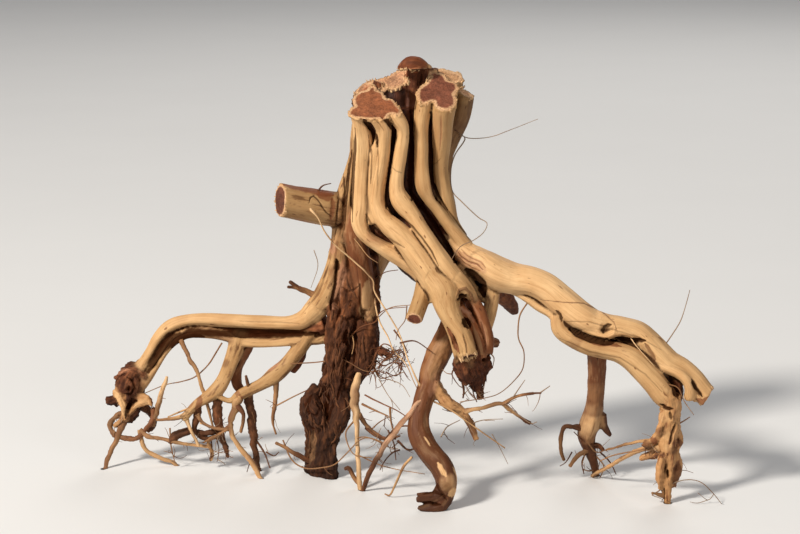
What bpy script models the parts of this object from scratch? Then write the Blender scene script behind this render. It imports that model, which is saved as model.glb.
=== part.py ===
"""A dry root: a sawn fluted stump on arched root arms, one solid piece of wood.

Every limb is a route of points (across, up, back, radius) in millimetres. Across and up are read as the
root looks from the front, a little above the floor; back is the real depth behind the stump's middle.
"""

import math

import bmesh
import bpy
from mathutils import Matrix, Vector

MM = 0.001

# How the routes are read: the eye's height angle and distance, and the depth and level of the front foot
SIGHT = math.radians(12.0)
EYE = 2200.0
EYE_LINE = 243.0
FOOT_BACK = -110.0

# Middle of the root's outline on the floor, which the frame's origin lies under
MIDDLE = (-0.65, -23.75)

# Sizes of the mesh: the grid that fuses the limbs, and the steps along a route
FUSE_GRID = 2.4
FUSE_SMOOTH = 0.5
FUSE_SMOOTH_ROUNDS = 3
BODY_TRIANGLES = 6500
BODY_STEPS = 4
ROOTLET_STEPS = 2
BODY_SIDES = 4
ROOTLET_SIDES = 1

# Strands of the stump, left to right, from the saw cuts down into the arms
STUMP = {
    "left_edge": [
        (-41, 396, -8, 5), (-43, 366, -2, 5.5), (-49, 340, 2, 6.5), (-55, 314, 4, 9), (-57, 287, 6, 10.5),
        (-59, 261, 8, 11), (-64, 237, 11, 12.5), (-75, 213, 15, 12.5), (-89, 195, 20, 11),
    ],
    "left_edge_inner": [
        (-44, 392, -18, 3.5), (-46, 372, -14, 3.6), (-47.5, 340, -12, 3.6), (-50, 320, -10, 3.6),
        (-52, 295, -8, 4), (-56, 268, -4, 5),
    ],
    "left_broad": [
        (-47, 412, -36, 9), (-42, 398, -38, 7.5), (-39, 386, -36, 7.5), (-37, 374, -33, 8.5),
        (-36.5, 358, -31, 9), (-37.5, 340, -30, 9), (-39, 320, -30, 9.3), (-39.5, 305, -31, 9.3),
        (-41, 290, -32, 8.5), (-38, 279, -34, 7.5), (-31, 271, -36, 6.5), (-20, 264, -38, 7),
        (-8, 257, -40, 8.5), (6, 249, -41, 9), (20, 240, -42, 10), (32, 226, -43, 10),
    ],
    "left_rib": [
        (-27, 412, -46, 8), (-25, 393, -47, 6.5), (-20, 380, -44, 4.8), (-21, 368, -40, 5),
        (-24, 356, -37, 5.6), (-25, 340, -36, 6), (-26, 320, -35, 6.6), (-27, 300, -34, 7.2),
        (-24, 287, -35, 7),
    ],
    "middle_rib": [
        (-20, 412, -46, 8), (-18, 393, -48, 7), (-15, 380, -46, 6), (-15.5, 366, -42, 6),
        (-17.5, 350, -39, 6.5), (-20, 336, -38, 6.6), (-22.5, 318, -37, 7), (-22, 305, -38, 8),
        (-15, 290, -41, 9.5), (-2, 278, -45, 11), (8, 267, -47, 12), (20, 252, -50, 13.5),
        (33, 233, -53, 14), (43, 213, -56, 14),
    ],
    "front_strand": [
        (-13, 414, -36, 8), (-8, 402, -41, 7), (-2, 391, -43, 7.2), (2.5, 384, -43, 6.6),
        (3.5, 378, -42, 6.4), (2.5, 368, -41, 6.8), (0, 352, -40, 6.9), (-2.5, 338, -40, 6.9),
        (-3.5, 322, -41, 7.6), (-0.5, 311, -43, 9.6), (6, 302, -46, 9.2), (13.5, 293, -49, 7.6),
        (20.5, 282, -52, 6.8), (28, 271, -55, 6.8), (36, 259, -57, 7.4), (45, 246, -59, 8.4),
        (54, 234, -60, 8.6), (62, 224, -61, 7.5), (67, 215, -60, 6),
    ],
    "left_head": [
        (-54, 404, -36, 4.5), (-45, 398, -43, 6), (-31, 394, -47, 6), (-19, 394, -47, 6),
        (-10, 401, -42, 6), (-6, 410, -36, 5),
    ],
    "left_inner": [
        (-26, 404, -26, 14), (-20, 372, -20, 14), (-18, 335, -18, 14), (-18, 300, -20, 14),
        (-20, 276, -18, 13), (-10, 262, -22, 12),
    ],
    "left_fill": [(-33, 432, -22, 18), (-31, 408, -22, 17), (-28, 375, -18, 14), (-24, 335, -12, 13)],
    "left_fill_right": [(-14, 422, -34, 9), (-13, 406, -33, 9), (-12, 392, -35, 7)],
    "left_fill_mid": [(-28, 424, -36, 10), (-28, 408, -37, 9.5), (-27, 394, -38, 8)],
    "right_fill": [(39, 446, -9, 10.5), (38, 428, -13, 12), (36, 404, -16, 12)],
    "right_strand": [
        (32, 432, -22, 11), (27, 416, -24, 10.5), (22.5, 398, -28, 8.4), (21, 380, -31, 7.2),
        (21.5, 360, -33, 7), (21.5, 342, -33, 7.2), (23.5, 323, -33, 7.2), (29.5, 310, -33, 5.6),
        (36, 302, -33, 5.2), (42, 294, -33, 5.4), (48.5, 285, -33, 5.8), (57, 274, -33, 6.8),
        (66, 262, -33, 8),
    ],
    "right_broad": [
        (47, 424, -30, 11.5), (45, 404, -34, 11), (43, 385, -28, 10), (41.5, 360, -22, 8.8),
        (40.5, 340, -20, 8.2), (43, 322, -21, 8.6), (45, 309, -23, 8.4), (48, 297, -24, 8),
        (52, 285, -24, 7.5), (60, 271, -25, 8),
    ],
    "right_lobe": [(50, 438, -17, 9.5), (48, 420, -18, 10), (44, 395, -12, 10), (38, 365, -6, 10)],
    "right_edge": [
        (66, 430, 8, 8), (64, 412, 8, 9), (60, 393, 8, 9), (52, 374, 5, 8.5), (45, 356, 2, 8),
        (42, 340, 0, 8.5), (43, 321, -2, 9), (47, 303, -6, 9), (52, 285, -10, 8), (60, 270, -15, 8),
    ],
    "core": [
        (-2, 402, 0, 22), (2, 362, 0, 25), (3, 322, 2, 27), (8, 285, -4, 27), (18, 258, -14, 24),
        (34, 238, -24, 20), (46, 218, -28, 16),
    ],
    "right_inner": [
        (30, 412, -6, 12), (30, 380, -8, 11), (30, 345, -8, 12), (34, 312, -14, 12), (44, 285, -22, 10),
    ],
    "core_right": [(30, 442, 8, 9), (28, 416, 6, 12), (22, 390, 0, 14)],
    "core_crown": [(12, 436, 10, 10), (16, 410, 8, 14), (16, 385, 4, 16)],
    "back_left": [
        (-20, 414, 20, 14), (-24, 380, 22, 15), (-32, 340, 22, 15.5), (-38, 298, 22, 17),
        (-44, 257, 23, 17), (-48, 222, 28, 17),
    ],
    "back_middle": [
        (-4, 424, 30, 13), (-10, 388, 33, 13.5), (-14, 348, 35, 15), (-14, 308, 37, 15), (-24, 265, 34, 17),
        (-38, 228, 30, 16),
    ],
    "back_right": [
        (26, 428, 26, 12), (21, 392, 32, 13), (17, 352, 36, 13.5), (16, 312, 36, 15), (26, 274, 25, 16),
        (42, 246, 8, 15), (58, 236, -8, 14),
    ],
    "back_rib": [
        (38, 424, 24, 8), (34, 386, 32, 8), (28, 346, 38, 8), (12, 308, 50, 7.5), (-6, 272, 50, 8),
        (-28, 238, 42, 10),
    ],
    "back_seam": [
        (-12, 404, 40, 6), (-21, 364, 43, 6.5), (-31, 322, 40, 7.5), (-40, 284, 37, 8), (-50, 244, 36, 9),
    ],
    "split_top": [
        (44, 452, 12, 9), (44, 425, 14, 11), (42, 385, 16, 12), (37, 345, 14, 12), (36, 305, 8, 12),
    ],
    "split_web": [(56, 452, 14, 7), (54, 425, 14, 9), (50, 400, 12, 10)],
    "core_left": [(-25, 428, 6, 8), (-26, 410, 2, 11), (-26, 388, -2, 12)],
    "core_gap": [(24, 306, -10, 15), (36, 288, -14, 13), (48, 270, -18, 12), (58, 254, -22, 10)],
    "torn_top": [(-1, 446, 10, 12), (-2, 420, 8, 13), (-4, 392, 4, 13)],
    "torn_top_left": [(-20, 446, 9, 9.5), (-20, 420, 6, 11), (-17, 392, 4, 12)],
    "torn_edge": [(-35, 434, 4, 7), (-36, 416, 2, 8.5), (-37, 390, 2, 8)],
    "cap_stem": [(14, 441, 4, 7), (13, 410, 4, 9), (12, 382, 0, 10)],
    "cap": [
        (-2, 440.5, -7, 3), (4, 442, -8, 7.5), (12, 443.5, -9, 10.5), (21, 442.5, -9, 9),
        (28, 440, -8, 5.5), (33, 438, -7, 2.5),
    ],
}

# The thick arms, with the cut stubs and the post under the stump's left side
ARMS = {
    "left_arm_top": [
        (-82, 203, 17, 12), (-96, 191, 21, 9.5), (-115, 187, 24, 7.6), (-145, 188, 29, 7.2),
        (-175, 190, 35, 6.8), (-200, 191, 41, 6.2), (-220, 188, 45, 6), (-233, 181, 48, 6),
        (-242, 171, 50, 6), (-248, 160, 51, 6), (-255, 148, 52, 7), (-262, 137, 53, 8.5),
    ],
    "left_arm_rim": [
        (-66, 176, 22, 7), (-82, 170, 22, 5), (-100, 170, 22, 5), (-130, 167, 25, 5), (-155, 168, 28, 5),
        (-170, 173, 32, 5.5), (-190, 177, 37, 5), (-210, 177, 41, 5), (-224, 171, 43, 5.5),
        (-235, 159, 45, 5), (-243, 147, 47, 5), (-252, 134, 50, 6), (-261, 124, 52, 8),
    ],
    "left_arm_core": [
        (-74, 188, 22, 12), (-100, 179, 28, 9), (-130, 177, 34, 9), (-160, 179, 40, 8.5),
        (-190, 182, 47, 8), (-215, 180, 51, 7), (-234, 169, 52, 6.5), (-247, 149, 55, 6.5),
        (-262, 130, 57, 9),
    ],
    "left_knot": [(-259, 142, 54, 8), (-267, 134, 53, 13), (-270, 122, 53, 15), (-269, 108, 54, 11)],
    "left_knot_brow": [
        (-283, 131, 50, 3.6), (-276, 137, 48, 4.2), (-265, 140, 47, 4.2), (-255, 133, 46, 4),
    ],
    "left_knot_fill": [(-268, 114, 55, 10), (-268, 100, 53, 8.5), (-272, 88, 51, 6)],
    "left_knot_ridge": [(-285, 121, 47, 3.4), (-280, 112, 44, 4), (-276, 102, 43, 4), (-274, 90, 43, 3.4)],
    "left_knot_lobe": [
        (-266, 115, 47, 4.6), (-258, 113, 45, 4.2), (-252, 111, 43, 3.6), (-248, 104, 42, 2.2),
    ],
    "left_knot_strip": [
        (-249, 109, 44, 3), (-258, 107, 43, 3.8), (-267, 101, 43, 3.4), (-274, 94, 43, 2.8),
        (-280, 88, 43, 2.8), (-286, 83, 44, 2.6),
    ],
    "left_knot_stub": [(-276, 112, 50, 6), (-287, 110, 48, 5.5), (-294, 109, 47, 5)],
    "left_branch": [
        (-160, 174, 33, 9), (-165, 158, 30, 8), (-170, 145, 27, 7.5), (-176, 131, 25, 7),
        (-183, 120, 23, 7.5), (-193, 112, 22, 6.5), (-203, 106, 22, 5.5), (-211, 98, 22, 5),
        (-216, 90, 22, 3.5),
    ],
    "left_branch_back": [
        (-150, 174, 36, 8), (-157, 157, 38, 7.5), (-164, 140, 40, 6.5), (-163, 126, 38, 5.5),
        (-155, 115, 36, 4),
    ],
    "inner_branch": [
        (-90, 177, 24, 9), (-100, 162, 24, 8), (-113, 146, 21, 7.5), (-126, 134, 18, 8), (-138, 126, 17, 6),
        (-150, 120, 17, 5.5), (-161, 114, 17, 5), (-169, 109, 18, 3.2), (-177, 111, 19, 3),
        (-184, 116, 21, 3.5),
    ],
    "inner_branch_flap": [(-98, 172, 33, 8), (-102, 152, 34, 7), (-109, 138, 33, 4.5)],
    "left_stub": [
        (-44, 297, 14, 16), (-68, 300, 6, 18), (-90, 304, -2, 18), (-106, 307, -9, 17),
        (-121, 310, -15, 16.5),
    ],
    "upper_web": [
        (-44, 305, -4, 9), (-46, 280, -4, 11), (-41, 256, 0, 12), (-38, 232, 6, 12), (-38, 205, 12, 11),
    ],
    "post": [
        (-50, 262, 18, 18), (-48, 240, 20, 21), (-49, 215, 22, 22), (-51, 186, 23, 22), (-54, 160, 22, 21),
        (-59, 134, 19, 19), (-66, 110, 16, 18), (-72, 88, 12, 16), (-76, 66, 9, 13), (-79, 47, 8, 12),
        (-79, 24, 7, 12.5),
    ],
    "post_ridge": [
        (-50, 204, 4, 7), (-56, 184, 1, 8), (-60, 164, 0, 7), (-64, 144, 2, 7), (-62, 122, 2, 7),
        (-58, 104, 0, 7), (-60, 88, -1, 5),
    ],
    "post_right": [
        (-32, 255, 14, 9), (-31, 230, 16, 11), (-31, 205, 17, 12), (-32, 178, 18, 12.5), (-34, 158, 17, 12),
        (-42, 140, 16, 10), (-50, 124, 14, 8),
    ],
    "post_lump_left": [
        (-82, 124, 10, 6), (-88, 114, 7, 8), (-88, 104, 3, 10), (-83, 95, 1, 9.5), (-85, 85, 4, 6.5),
    ],
    "post_lump_fold": [(-92, 112, 14, 7), (-94, 98, 12, 7), (-90, 84, 12, 7), (-88, 70, 12, 6)],
    "post_lump_right": [
        (-60, 118, 4, 8), (-58, 103, 0, 9), (-62, 88, -2, 9), (-67, 76, 0, 5.5), (-69, 68, 3, 3),
    ],
    "post_burr": [(-36, 162, 8, 8), (-26, 160, 2, 5), (-17, 158, -4, 4), (-8, 152, -8, 2.5)],
    "post_bulge": [(-36, 190, 8, 9), (-32, 172, 4, 12), (-34, 152, 5, 11), (-40, 138, 8, 8)],
    "post_strand_left": [
        (-66, 205, 6, 6), (-68, 184, 4, 6), (-69, 160, 4, 6.5), (-68, 138, 4, 6), (-74, 126, 4, 6),
    ],
    "post_toe_left": [(-88, 84, 12, 7), (-88, 66, 13, 7), (-89, 48, 14, 7), (-87, 32, 14, 7.5)],
    "post_toe_right": [(-70, 66, 4, 7), (-69, 48, 0, 7.5), (-70, 34, -3, 8), (-69, 22, -5, 8)],
    "front_arm": [
        (32, 236, -54, 13), (44, 220, -60, 15), (47, 205, -66, 12.5), (52, 192, -71, 10.5),
        (60, 180, -75, 9.5), (66, 168, -79, 8.5), (69.5, 157, -82, 7.8), (71, 146, -84, 7.5),
    ],
    "front_arm_rib": [
        (42, 198, -68, 4.5), (47, 184, -74, 3.2), (52, 170, -77, 2.8), (55, 156, -78, 2.6),
        (57, 148, -78, 1.6),
    ],
    "front_arm_torn": [(58, 182, -74, 5), (60, 168, -80, 4.4), (61, 157, -83, 4.2), (61, 150, -84, 2.6)],
    "hole_rim": [(56, 233, -62, 7), (65, 224, -62, 5.5), (71, 217, -60, 4.5), (74, 211, -58, 4)],
    "bark_leg": [
        (63, 214, -60, 3.5), (68, 217, -58, 4.5), (74, 210, -56, 5), (80, 198, -56, 5.5),
        (85, 184, -58, 5.5), (88, 170, -60, 5.5), (86, 157, -62, 6.5),
    ],
    "bark_leg_inner": [
        (60, 204, -58, 4), (67, 194, -57, 4.5), (73, 181, -60, 5.5), (78, 167, -62, 6), (80, 152, -64, 7),
    ],
    "bark_leg_back": [(70, 214, -46, 7), (76, 198, -50, 7), (80, 180, -54, 7.5), (82, 162, -58, 8)],
    "right_leg": [
        (90, 228, -30, 10), (92, 213, -35, 8), (90, 197, -42, 6.5), (87, 182, -49, 5.5), (84, 168, -54, 6),
        (80, 154, -59, 7),
    ],
    "right_leg_knob": [(82, 170, -48, 6), (91, 168, -42, 5.5), (98, 167, -38, 5)],
    "opening_back": [(50, 256, -20, 9), (62, 240, -20, 11), (74, 224, -22, 11), (82, 208, -26, 8)],
    "opening_strand": [
        (58, 246, -36, 4), (64, 238, -36, 4), (70, 228, -36, 3.6), (78, 218, -36, 3.6), (84, 208, -38, 3.6),
    ],
    "knot": [
        (68, 160, -68, 10), (70, 149, -66, 12), (74, 140, -62, 11), (76, 130, -58, 8), (79, 120, -56, 5),
        (80, 112, -55, 2.5),
    ],
    "knot_left": [(60, 152, -72, 7), (62, 144, -72, 8), (65, 135, -70, 7), (69, 128, -68, 5)],
    "knot_right": [(84, 152, -60, 8), (84, 142, -56, 7), (82, 132, -56, 5.5)],
    "front_stub": [(30, 246, -30, 10), (25, 226, -42, 9), (20, 208, -56, 8.8), (13, 188, -73, 8.6)],
    "front_root": [
        (56, 232, -24, 12), (56, 205, -28, 11), (51, 184, -33, 11), (45, 169, -38, 11),
        (38, 154, -44, 11.5), (31, 140, -50, 10.5), (28, 124, -56, 10), (23, 108, -63, 10),
        (19, 92, -70, 10.3), (20, 75, -77, 11.5), (29, 59, -84, 11.8), (41, 45, -90, 12), (47, 31, -97, 11),
        (46, 18, -102, 10), (40, 7, -106, 9.5), (32, -4, -108, 9),
    ],
    "front_foot_toe": [(45, 21, -104, 9), (37, 14, -109, 6.5), (27, 11, -111, 4.2), (16, 10, -112, 2.4)],
    "front_foot_tip": [(32, 14, -111, 4), (24, 15, -112, 2.6), (16, 16, -113, 1.5)],
    "front_foot_sole": [(45, 12, -104, 9), (37, 3, -110, 6.5), (26, 1, -112, 4.4), (17, 2, -113, 2.6)],
    "front_fork": [
        (34, 124, -56, 8), (43, 112, -58, 7), (50, 105, -59, 6.2), (59, 101, -58, 5.2), (66, 94, -57, 4.5),
        (71, 84, -56, 4), (76, 70, -56, 3),
    ],
    "right_arm": [
        (52, 272, -26, 9), (66, 257, -32, 12), (82, 246, -36, 15.5), (98, 236, -38, 16.5),
        (114, 231, -39, 15.5), (130, 229, -41, 14.5), (146, 222, -43, 14.5), (160, 210, -45, 15),
        (173, 199, -47, 15.5), (187, 190, -49, 15), (201, 185, -51, 12.5),
    ],
    "right_arm_upper": [
        (194, 188, -50, 12.5), (208, 186, -52, 10.5), (222, 184, -54, 10), (238, 178, -56, 10.5),
        (250, 167, -58, 11.5), (260, 156, -60, 12), (270, 147, -62, 11.5), (282, 141, -64, 10.5),
        (292, 132, -66, 10.5), (301, 121, -68, 10.5), (309, 111, -70, 10.5),
    ],
    "right_arm_loop": [
        (252, 150, -64, 4), (264, 143, -69, 4.6), (277, 137, -73, 4.8), (286, 130, -76, 4.8),
        (290, 120, -76, 5), (289, 111, -74, 5.4),
    ],
    "right_arm_heel": [(288, 132, -64, 6), (295, 119, -66, 6.5), (298, 109, -68, 6)],
    "right_arm_bridge": [
        (184, 182, -56, 5), (196, 176, -60, 3.8), (206, 174, -62, 3.6), (217, 178, -62, 4.2),
        (230, 177, -61, 4.5), (243, 172, -60, 5),
    ],
    "right_arm_back": [(182, 184, -38, 9), (202, 176, -42, 8), (226, 170, -48, 8), (250, 160, -54, 9)],
    "loop_back": [(262, 146, -54, 7), (270, 134, -56, 8), (276, 120, -60, 8), (274, 108, -64, 7)],
    "right_arm_lower": [
        (158, 194, -50, 7.5), (160, 181, -53, 8), (173, 171, -56, 8.5), (189, 164, -59, 9),
        (205, 160, -61, 9), (219, 157, -63, 10), (232, 150, -66, 11.3), (244, 138, -69, 11.8),
        (255, 126, -72, 12), (264, 115, -74, 11.8), (271, 106, -75, 10),
    ],
    "right_arm_feeder": [
        (100, 222, -40, 5), (112, 218, -42, 3), (126, 211, -45, 3.4), (138, 203, -47, 4),
        (150, 197, -49, 5), (159, 190, -51, 7),
    ],
    "back_spur": [
        (84, 234, -20, 11), (96, 221, -4, 10.5), (106, 211, 12, 8.5), (112, 203, 26, 6.5),
        (115, 198, 36, 4),
    ],
    "right_foot": [
        (269, 114, -75, 11), (271, 103, -76, 10.5), (271, 94, -77, 9.5), (270, 84, -78, 8.6),
        (268, 72, -80, 9.5), (268, 60, -82, 9), (269.5, 46, -83, 7), (268, 33, -85, 6), (267, 21, -86, 5),
        (267.5, 9, -87, 4.2), (268, -4, -88, 4.2),
    ],
    "right_foot_left": [
        (263, 97, -80, 4), (260, 84, -84, 3.6), (257, 74, -84, 4), (249, 66, -80, 4), (243, 66, -76, 3),
    ],
    "right_foot_right": [
        (277, 98, -74, 4.5), (276, 84, -76, 4.5), (280, 71, -77, 4.5), (276, 58, -80, 5),
        (279, 46, -80, 4.5), (275, 33, -82, 4.5), (273, 23, -83, 3),
    ],
    "right_foot_toe": [(262, 54, -88, 4.6), (260, 42, -89, 4), (259.5, 30, -89, 3.6), (260, 19, -88, 2.6)],
    "right_foot_heel": [(262, 60, -74, 6), (254, 56, -70, 5), (246, 53, -68, 4), (240, 51, -68, 2)],
    "back_leg": [
        (190, 182, -50, 10), (195, 168, -42, 9), (197, 152, -34, 9.2), (197, 134, -26, 8.6),
        (196, 116, -18, 8.5), (194, 100, -12, 9.2), (190, 86, -8, 10.5), (187, 74, -5, 9.5),
        (190, 60, -2, 6.5), (194, 47, 0, 5), (196, 36, 2, 4.2), (197, 20, 3, 4),
    ],
    "back_leg_side": [(202, 96, -12, 5), (205, 82, -8, 4), (211, 74, -6, 2.5)],
}

# Thin roots that are still stiff enough to stand by themselves
ROOTLETS = {
    "floor_tip_left": [
        (-274, 96, 48, 6), (-280, 79, 43, 3.5), (-286, 65, 37, 3), (-291, 53, 31, 2.8), (-297, 34, 24, 2.8),
    ],
    "knot_ring": [
        (-272, 100, 52, 3.4), (-284, 94, 52, 3), (-290, 85, 49, 3), (-286, 77, 45, 3.2),
        (-273, 71, 41, 3.4), (-262, 72, 39, 3.2), (-254, 81, 40, 3), (-247.5, 89, 44, 3),
        (-246, 102, 48, 2.6),
    ],
    "knot_ring_back": [(-262, 108, 60, 5), (-250, 98, 62, 4), (-246, 86, 56, 3.6), (-252, 80, 44, 3.4)],
    "knot_runner": [
        (-260, 80, 40, 3), (-252, 74, 36, 2.4), (-238, 71, 32, 2.2), (-222, 67, 29, 2.1), (-205, 65, 27, 2),
        (-190, 63, 26, 2),
    ],
    "knot_prop": [
        (-260, 80, 41, 3), (-257, 66, 40, 2.4), (-251, 58, 39, 2.3), (-240, 52, 38, 2.3),
        (-228, 48, 37, 2.3), (-222, 42, 36, 2.6),
    ],
    "splinter": [
        (-247, 84, 46, 2.5), (-243, 100, 42, 3), (-240, 112, 39, 3), (-236, 124, 38, 2.8),
        (-233, 133, 38, 1.6),
    ],
    "elbow_tie": [
        (-219, 170, 42, 3), (-212, 155, 35, 2.5), (-204, 140, 29, 2.2), (-199, 126, 26, 2.1),
        (-195, 113, 24, 2.4),
    ],
    "left_branch_tip": [(-209, 100, 22, 4.5), (-218, 94, 20, 3), (-230, 91, 17, 2), (-243, 90, 15, 1.6)],
    "left_branch_spike": [(-214, 92, 22, 3), (-209, 80, 19, 2), (-203, 68, 17, 1.8), (-201, 64, 16, 1.6)],
    "cross_twig": [(-203, 96, 22, 3), (-197, 87, 20, 2), (-185, 82, 17, 1.8), (-168, 80, 14, 1.8)],
    "under_left": [
        (-182, 112, 26, 6), (-183, 96, 28, 6), (-180, 82, 28, 5), (-176, 68, 26, 3.2), (-172, 53, 24, 2.2),
    ],
    "under_left_drop": [
        (-203, 104, 24, 5), (-203, 92, 26, 4.5), (-205, 80, 28, 3), (-196, 72, 28, 2.6),
        (-180, 73, 27, 2.6),
    ],
    "under_left_bark": [
        (-180, 80, 28, 3.4), (-196, 77, 29, 3.4), (-212, 78, 31, 4.2), (-226, 73, 31, 5),
        (-230, 68, 31, 3.6),
    ],
    "runner_link": [
        (-168, 86, 14, 2.4), (-182, 75, 20, 2.2), (-192, 68, 25, 2.2), (-188, 58, 27, 2.2),
        (-189, 50, 28, 1.8),
    ],
    "prop_root": [
        (-160, 114, 17, 5.5), (-164, 104, 14, 5.2), (-168, 94, 12, 4), (-169, 84, 10, 3), (-167, 73, 8, 3),
        (-160, 61, 5, 3), (-151, 51, 1, 3), (-144, 41, -3, 2.8), (-138, 28, -8, 2.6),
    ],
    "bark_root": [
        (-153, 122, 20, 4), (-150, 106, 24, 5), (-148, 86, 24, 5), (-146, 66, 22, 4.4), (-143, 50, 20, 3.4),
        (-140, 36, 18, 2.6),
    ],
    "hook_root": [(-163, 104, 14, 4), (-157, 97, 8, 2.6), (-157, 88, 6, 2.2), (-159, 78, 6, 1.9)],
    "stub_twig": [(-150, 114, 19, 3), (-152, 124, 15, 2.2), (-154, 134, 13, 1.6)],
    "hanging_root": [
        (-125, 134, 18, 4.5), (-124, 115, 15, 3), (-126, 100, 15, 2.6), (-127, 87, 15, 1.7),
        (-124, 76, 15, 1.5),
    ],
    "side_root": [(-88, 48, 10, 3.4), (-104, 56, 8, 2.6), (-116, 63, 9, 2), (-124, 67, 10, 1.6)],
    "broken_twig": [(-80, 213, 16, 4.5), (-94, 218, 15, 3.6), (-101, 222, 14, 3), (-110, 228, 13, 2.2)],
    "broken_twig_fork": [(-98, 220, 15, 2.6), (-105, 222, 12, 2), (-112, 223, 10, 1.6)],
    "long_wire": [
        (-90, 302, -20, 2), (-82, 292, -26, 1.3), (-75, 278, -28, 1.2), (-64, 264, -26, 1.2),
        (-46, 249, -20, 1.2), (-28, 231, -16, 1.2), (-25, 217, -18, 1.2), (-8, 190, -30, 1.2),
        (1, 172, -42, 1.2), (8, 150, -54, 1.2), (16, 132, -61, 1.3), (24, 118, -62, 2),
    ],
    "pale_root": [
        (-36, 160, 20, 6), (-37, 150, 9, 3.4), (-39, 139, 1, 2.8), (-44, 126, -5, 4.4), (-46, 110, -10, 5),
        (-44, 96, -14, 4.4), (-43, 84, -19, 3), (-43, 66, -26, 2.7), (-42, 50, -33, 2.8),
        (-41, 36, -39, 2.8), (-39, 14, -47, 2.8),
    ],
    "pale_root_fork": [
        (-42, 96, -14, 3.6), (-36, 88, -12, 3), (-28, 79, -14, 2.8), (-17, 72, -20, 2.4), (-5, 72, -30, 2),
    ],
    "pale_root_toe": [(-41, 26, -42, 2.4), (-46, 32, -38, 2.4), (-51, 42, -36, 2.7), (-55, 41, -36, 1.8)],
    "peeled_root": [
        (27, 112, -64, 4), (17, 106, -72, 2.8), (10, 97, -74, 2.9), (1, 86, -74, 3.1), (-5, 77, -71, 3),
        (-14, 66, -66, 2.8), (-22, 53, -60, 2.8), (-30, 38, -55, 2.7), (-35, 27, -51, 2.6),
        (-38, 14, -48, 2.5),
    ],
    "fork_prop": [
        (62, 98, -58, 3.4), (70, 100, -62, 2.4), (82, 102, -64, 2.1), (96, 106, -66, 2.3),
        (105, 106, -66, 2.2),
    ],
    "fork_prop_up": [
        (103, 106, -66, 2.2), (115, 113, -68, 1.8), (128, 116, -70, 1.7), (141, 117, -72, 1.5),
    ],
    "fork_prop_down": [(103, 106, -66, 2.1), (113, 98, -62, 1.8), (121, 92, -60, 1.8), (130, 87, -58, 2.2)],
    "back_foot_hook": [
        (182, 82, -8, 4.5), (174, 83, -12, 2.8), (165, 83, -14, 2.4), (161, 73, -14, 2.3),
        (161, 60, -12, 2.1), (164, 50, -10, 1.6),
    ],
    "back_foot_left": [(190, 62, -4, 4), (183, 58, -8, 2.8), (176, 52, -10, 2.4), (170, 44, -12, 2)],
    "back_foot_right": [(190, 62, -4, 4), (198, 64, -6, 3.2), (203, 60, -8, 2.4)],
    "spear_root": [
        (262, 62, -82, 5), (252, 63, -76, 3.2), (240, 60, -66, 2.6), (225, 53, -48, 2.4),
        (208, 43, -26, 2.3), (192, 34, -2, 2.2),
    ],
    "spear_twig": [(256, 68, -78, 4), (242, 69, -66, 2), (224, 65, -52, 1.7), (206, 60, -40, 1.5)],
    "foot_twig_left": [(264, 14, -86, 3), (258, 16, -89, 1.9), (252, 17, -92, 1.5)],
}

# Saw cuts and breaks: a point on the cut, the way it faces, and the limbs that end at it
CUTS = {
    "left_face": (
        (-29, 406, -29), (-0.12, -0.42, 0.9),
        (
            "left_edge", "left_broad", "left_rib", "middle_rib", "front_strand", "left_fill",
            "left_fill_right", "left_fill_mid", "left_head", "left_inner",
        ),
    ),
    "right_face": (
        (45, 408, -35), (0.02, -0.56, 0.83),
        ("right_strand", "right_broad", "right_lobe", "right_fill"),
    ),
    "torn_top": ((-9, 432, 12), (-0.25, -0.45, 0.86), ("torn_top", "torn_top_left")),
    "front_arm": ((66, 153, -82), (0.25, -0.35, -0.9), ("front_arm",)),
    "torn_edge": ((-36, 424, 4), (-0.5, -0.3, 0.81), ("torn_edge",)),
    "right_edge": ((66, 417, 8), (0.45, -0.2, 0.87), ("right_edge",)),
    "split_top": ((48, 436, 16), (0.16, -0.45, 0.88), ("split_top", "split_web")),
    "back": (
        (0, 424, 30), (-0.1, 0.12, 0.98),
        ("back_left", "back_middle", "back_right", "back_rib", "back_seam"),
    ),
    "cap": ((14, 440.5, -8), (0.03, -0.1, -0.99), ("cap",)),
    "left_stub": ((-120, 310, -15), (-0.92, -0.36, 0.08), ("left_stub",)),
    "right_arm": ((308, 114, -70), (0.82, -0.1, -0.5), ("right_arm_upper",)),
    "front_stub": ((15, 190, -70), (-0.25, -0.75, -0.62), ("front_stub",)),
}

WOOD_COLOUR = (0.66, 0.43, 0.23, 1.0)


def place(across, up, back):
    """A point in metres from how it looks from the front (across, up) and its real depth, in millimetres."""
    sine, cosine = math.sin(SIGHT), math.cos(SIGHT)

    def level(height, depth):
        """Height over the eye line's meeting with the stump, and the point's extra distance from the eye."""
        seen = height - EYE_LINE
        rise = (seen * (1 + depth * cosine / EYE) - depth * sine) / (cosine + seen * sine / EYE)
        return rise, depth * cosine - rise * sine

    floor = level(0.0, FOOT_BACK)[0]
    rise, away = level(up, back)
    x = across * (1 + away / EYE) - MIDDLE[0]
    return Vector((x, back - MIDDLE[1], rise - floor)) * MM


def between(a, b, c, d, t):
    """The value at share t of the way from b to c, on the smooth curve through all four."""
    cubic = 3 * b - a - 3 * c + d
    return 0.5 * (2 * b + (c - a) * t + (2 * a - 5 * b + 4 * c - d) * t * t + cubic * t ** 3)


def smooth_route(route, steps):
    """The route's points joined by a smooth curve, with this many steps between each two."""
    knots = [(*place(*point[:3]), point[3] * MM) for point in route]
    first = [2 * a - b for a, b in zip(knots[0], knots[1])]
    last = [2 * a - b for a, b in zip(knots[-1], knots[-2])]
    padded = [first, *knots, last]
    curve = []
    for before, start, end, after in zip(padded, padded[1:], padded[2:], padded[3:]):
        for step in range(steps):
            t = step / steps
            curve.append([between(*four, t) for four in zip(before, start, end, after)])
    curve.append(list(knots[-1]))
    return curve


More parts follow.
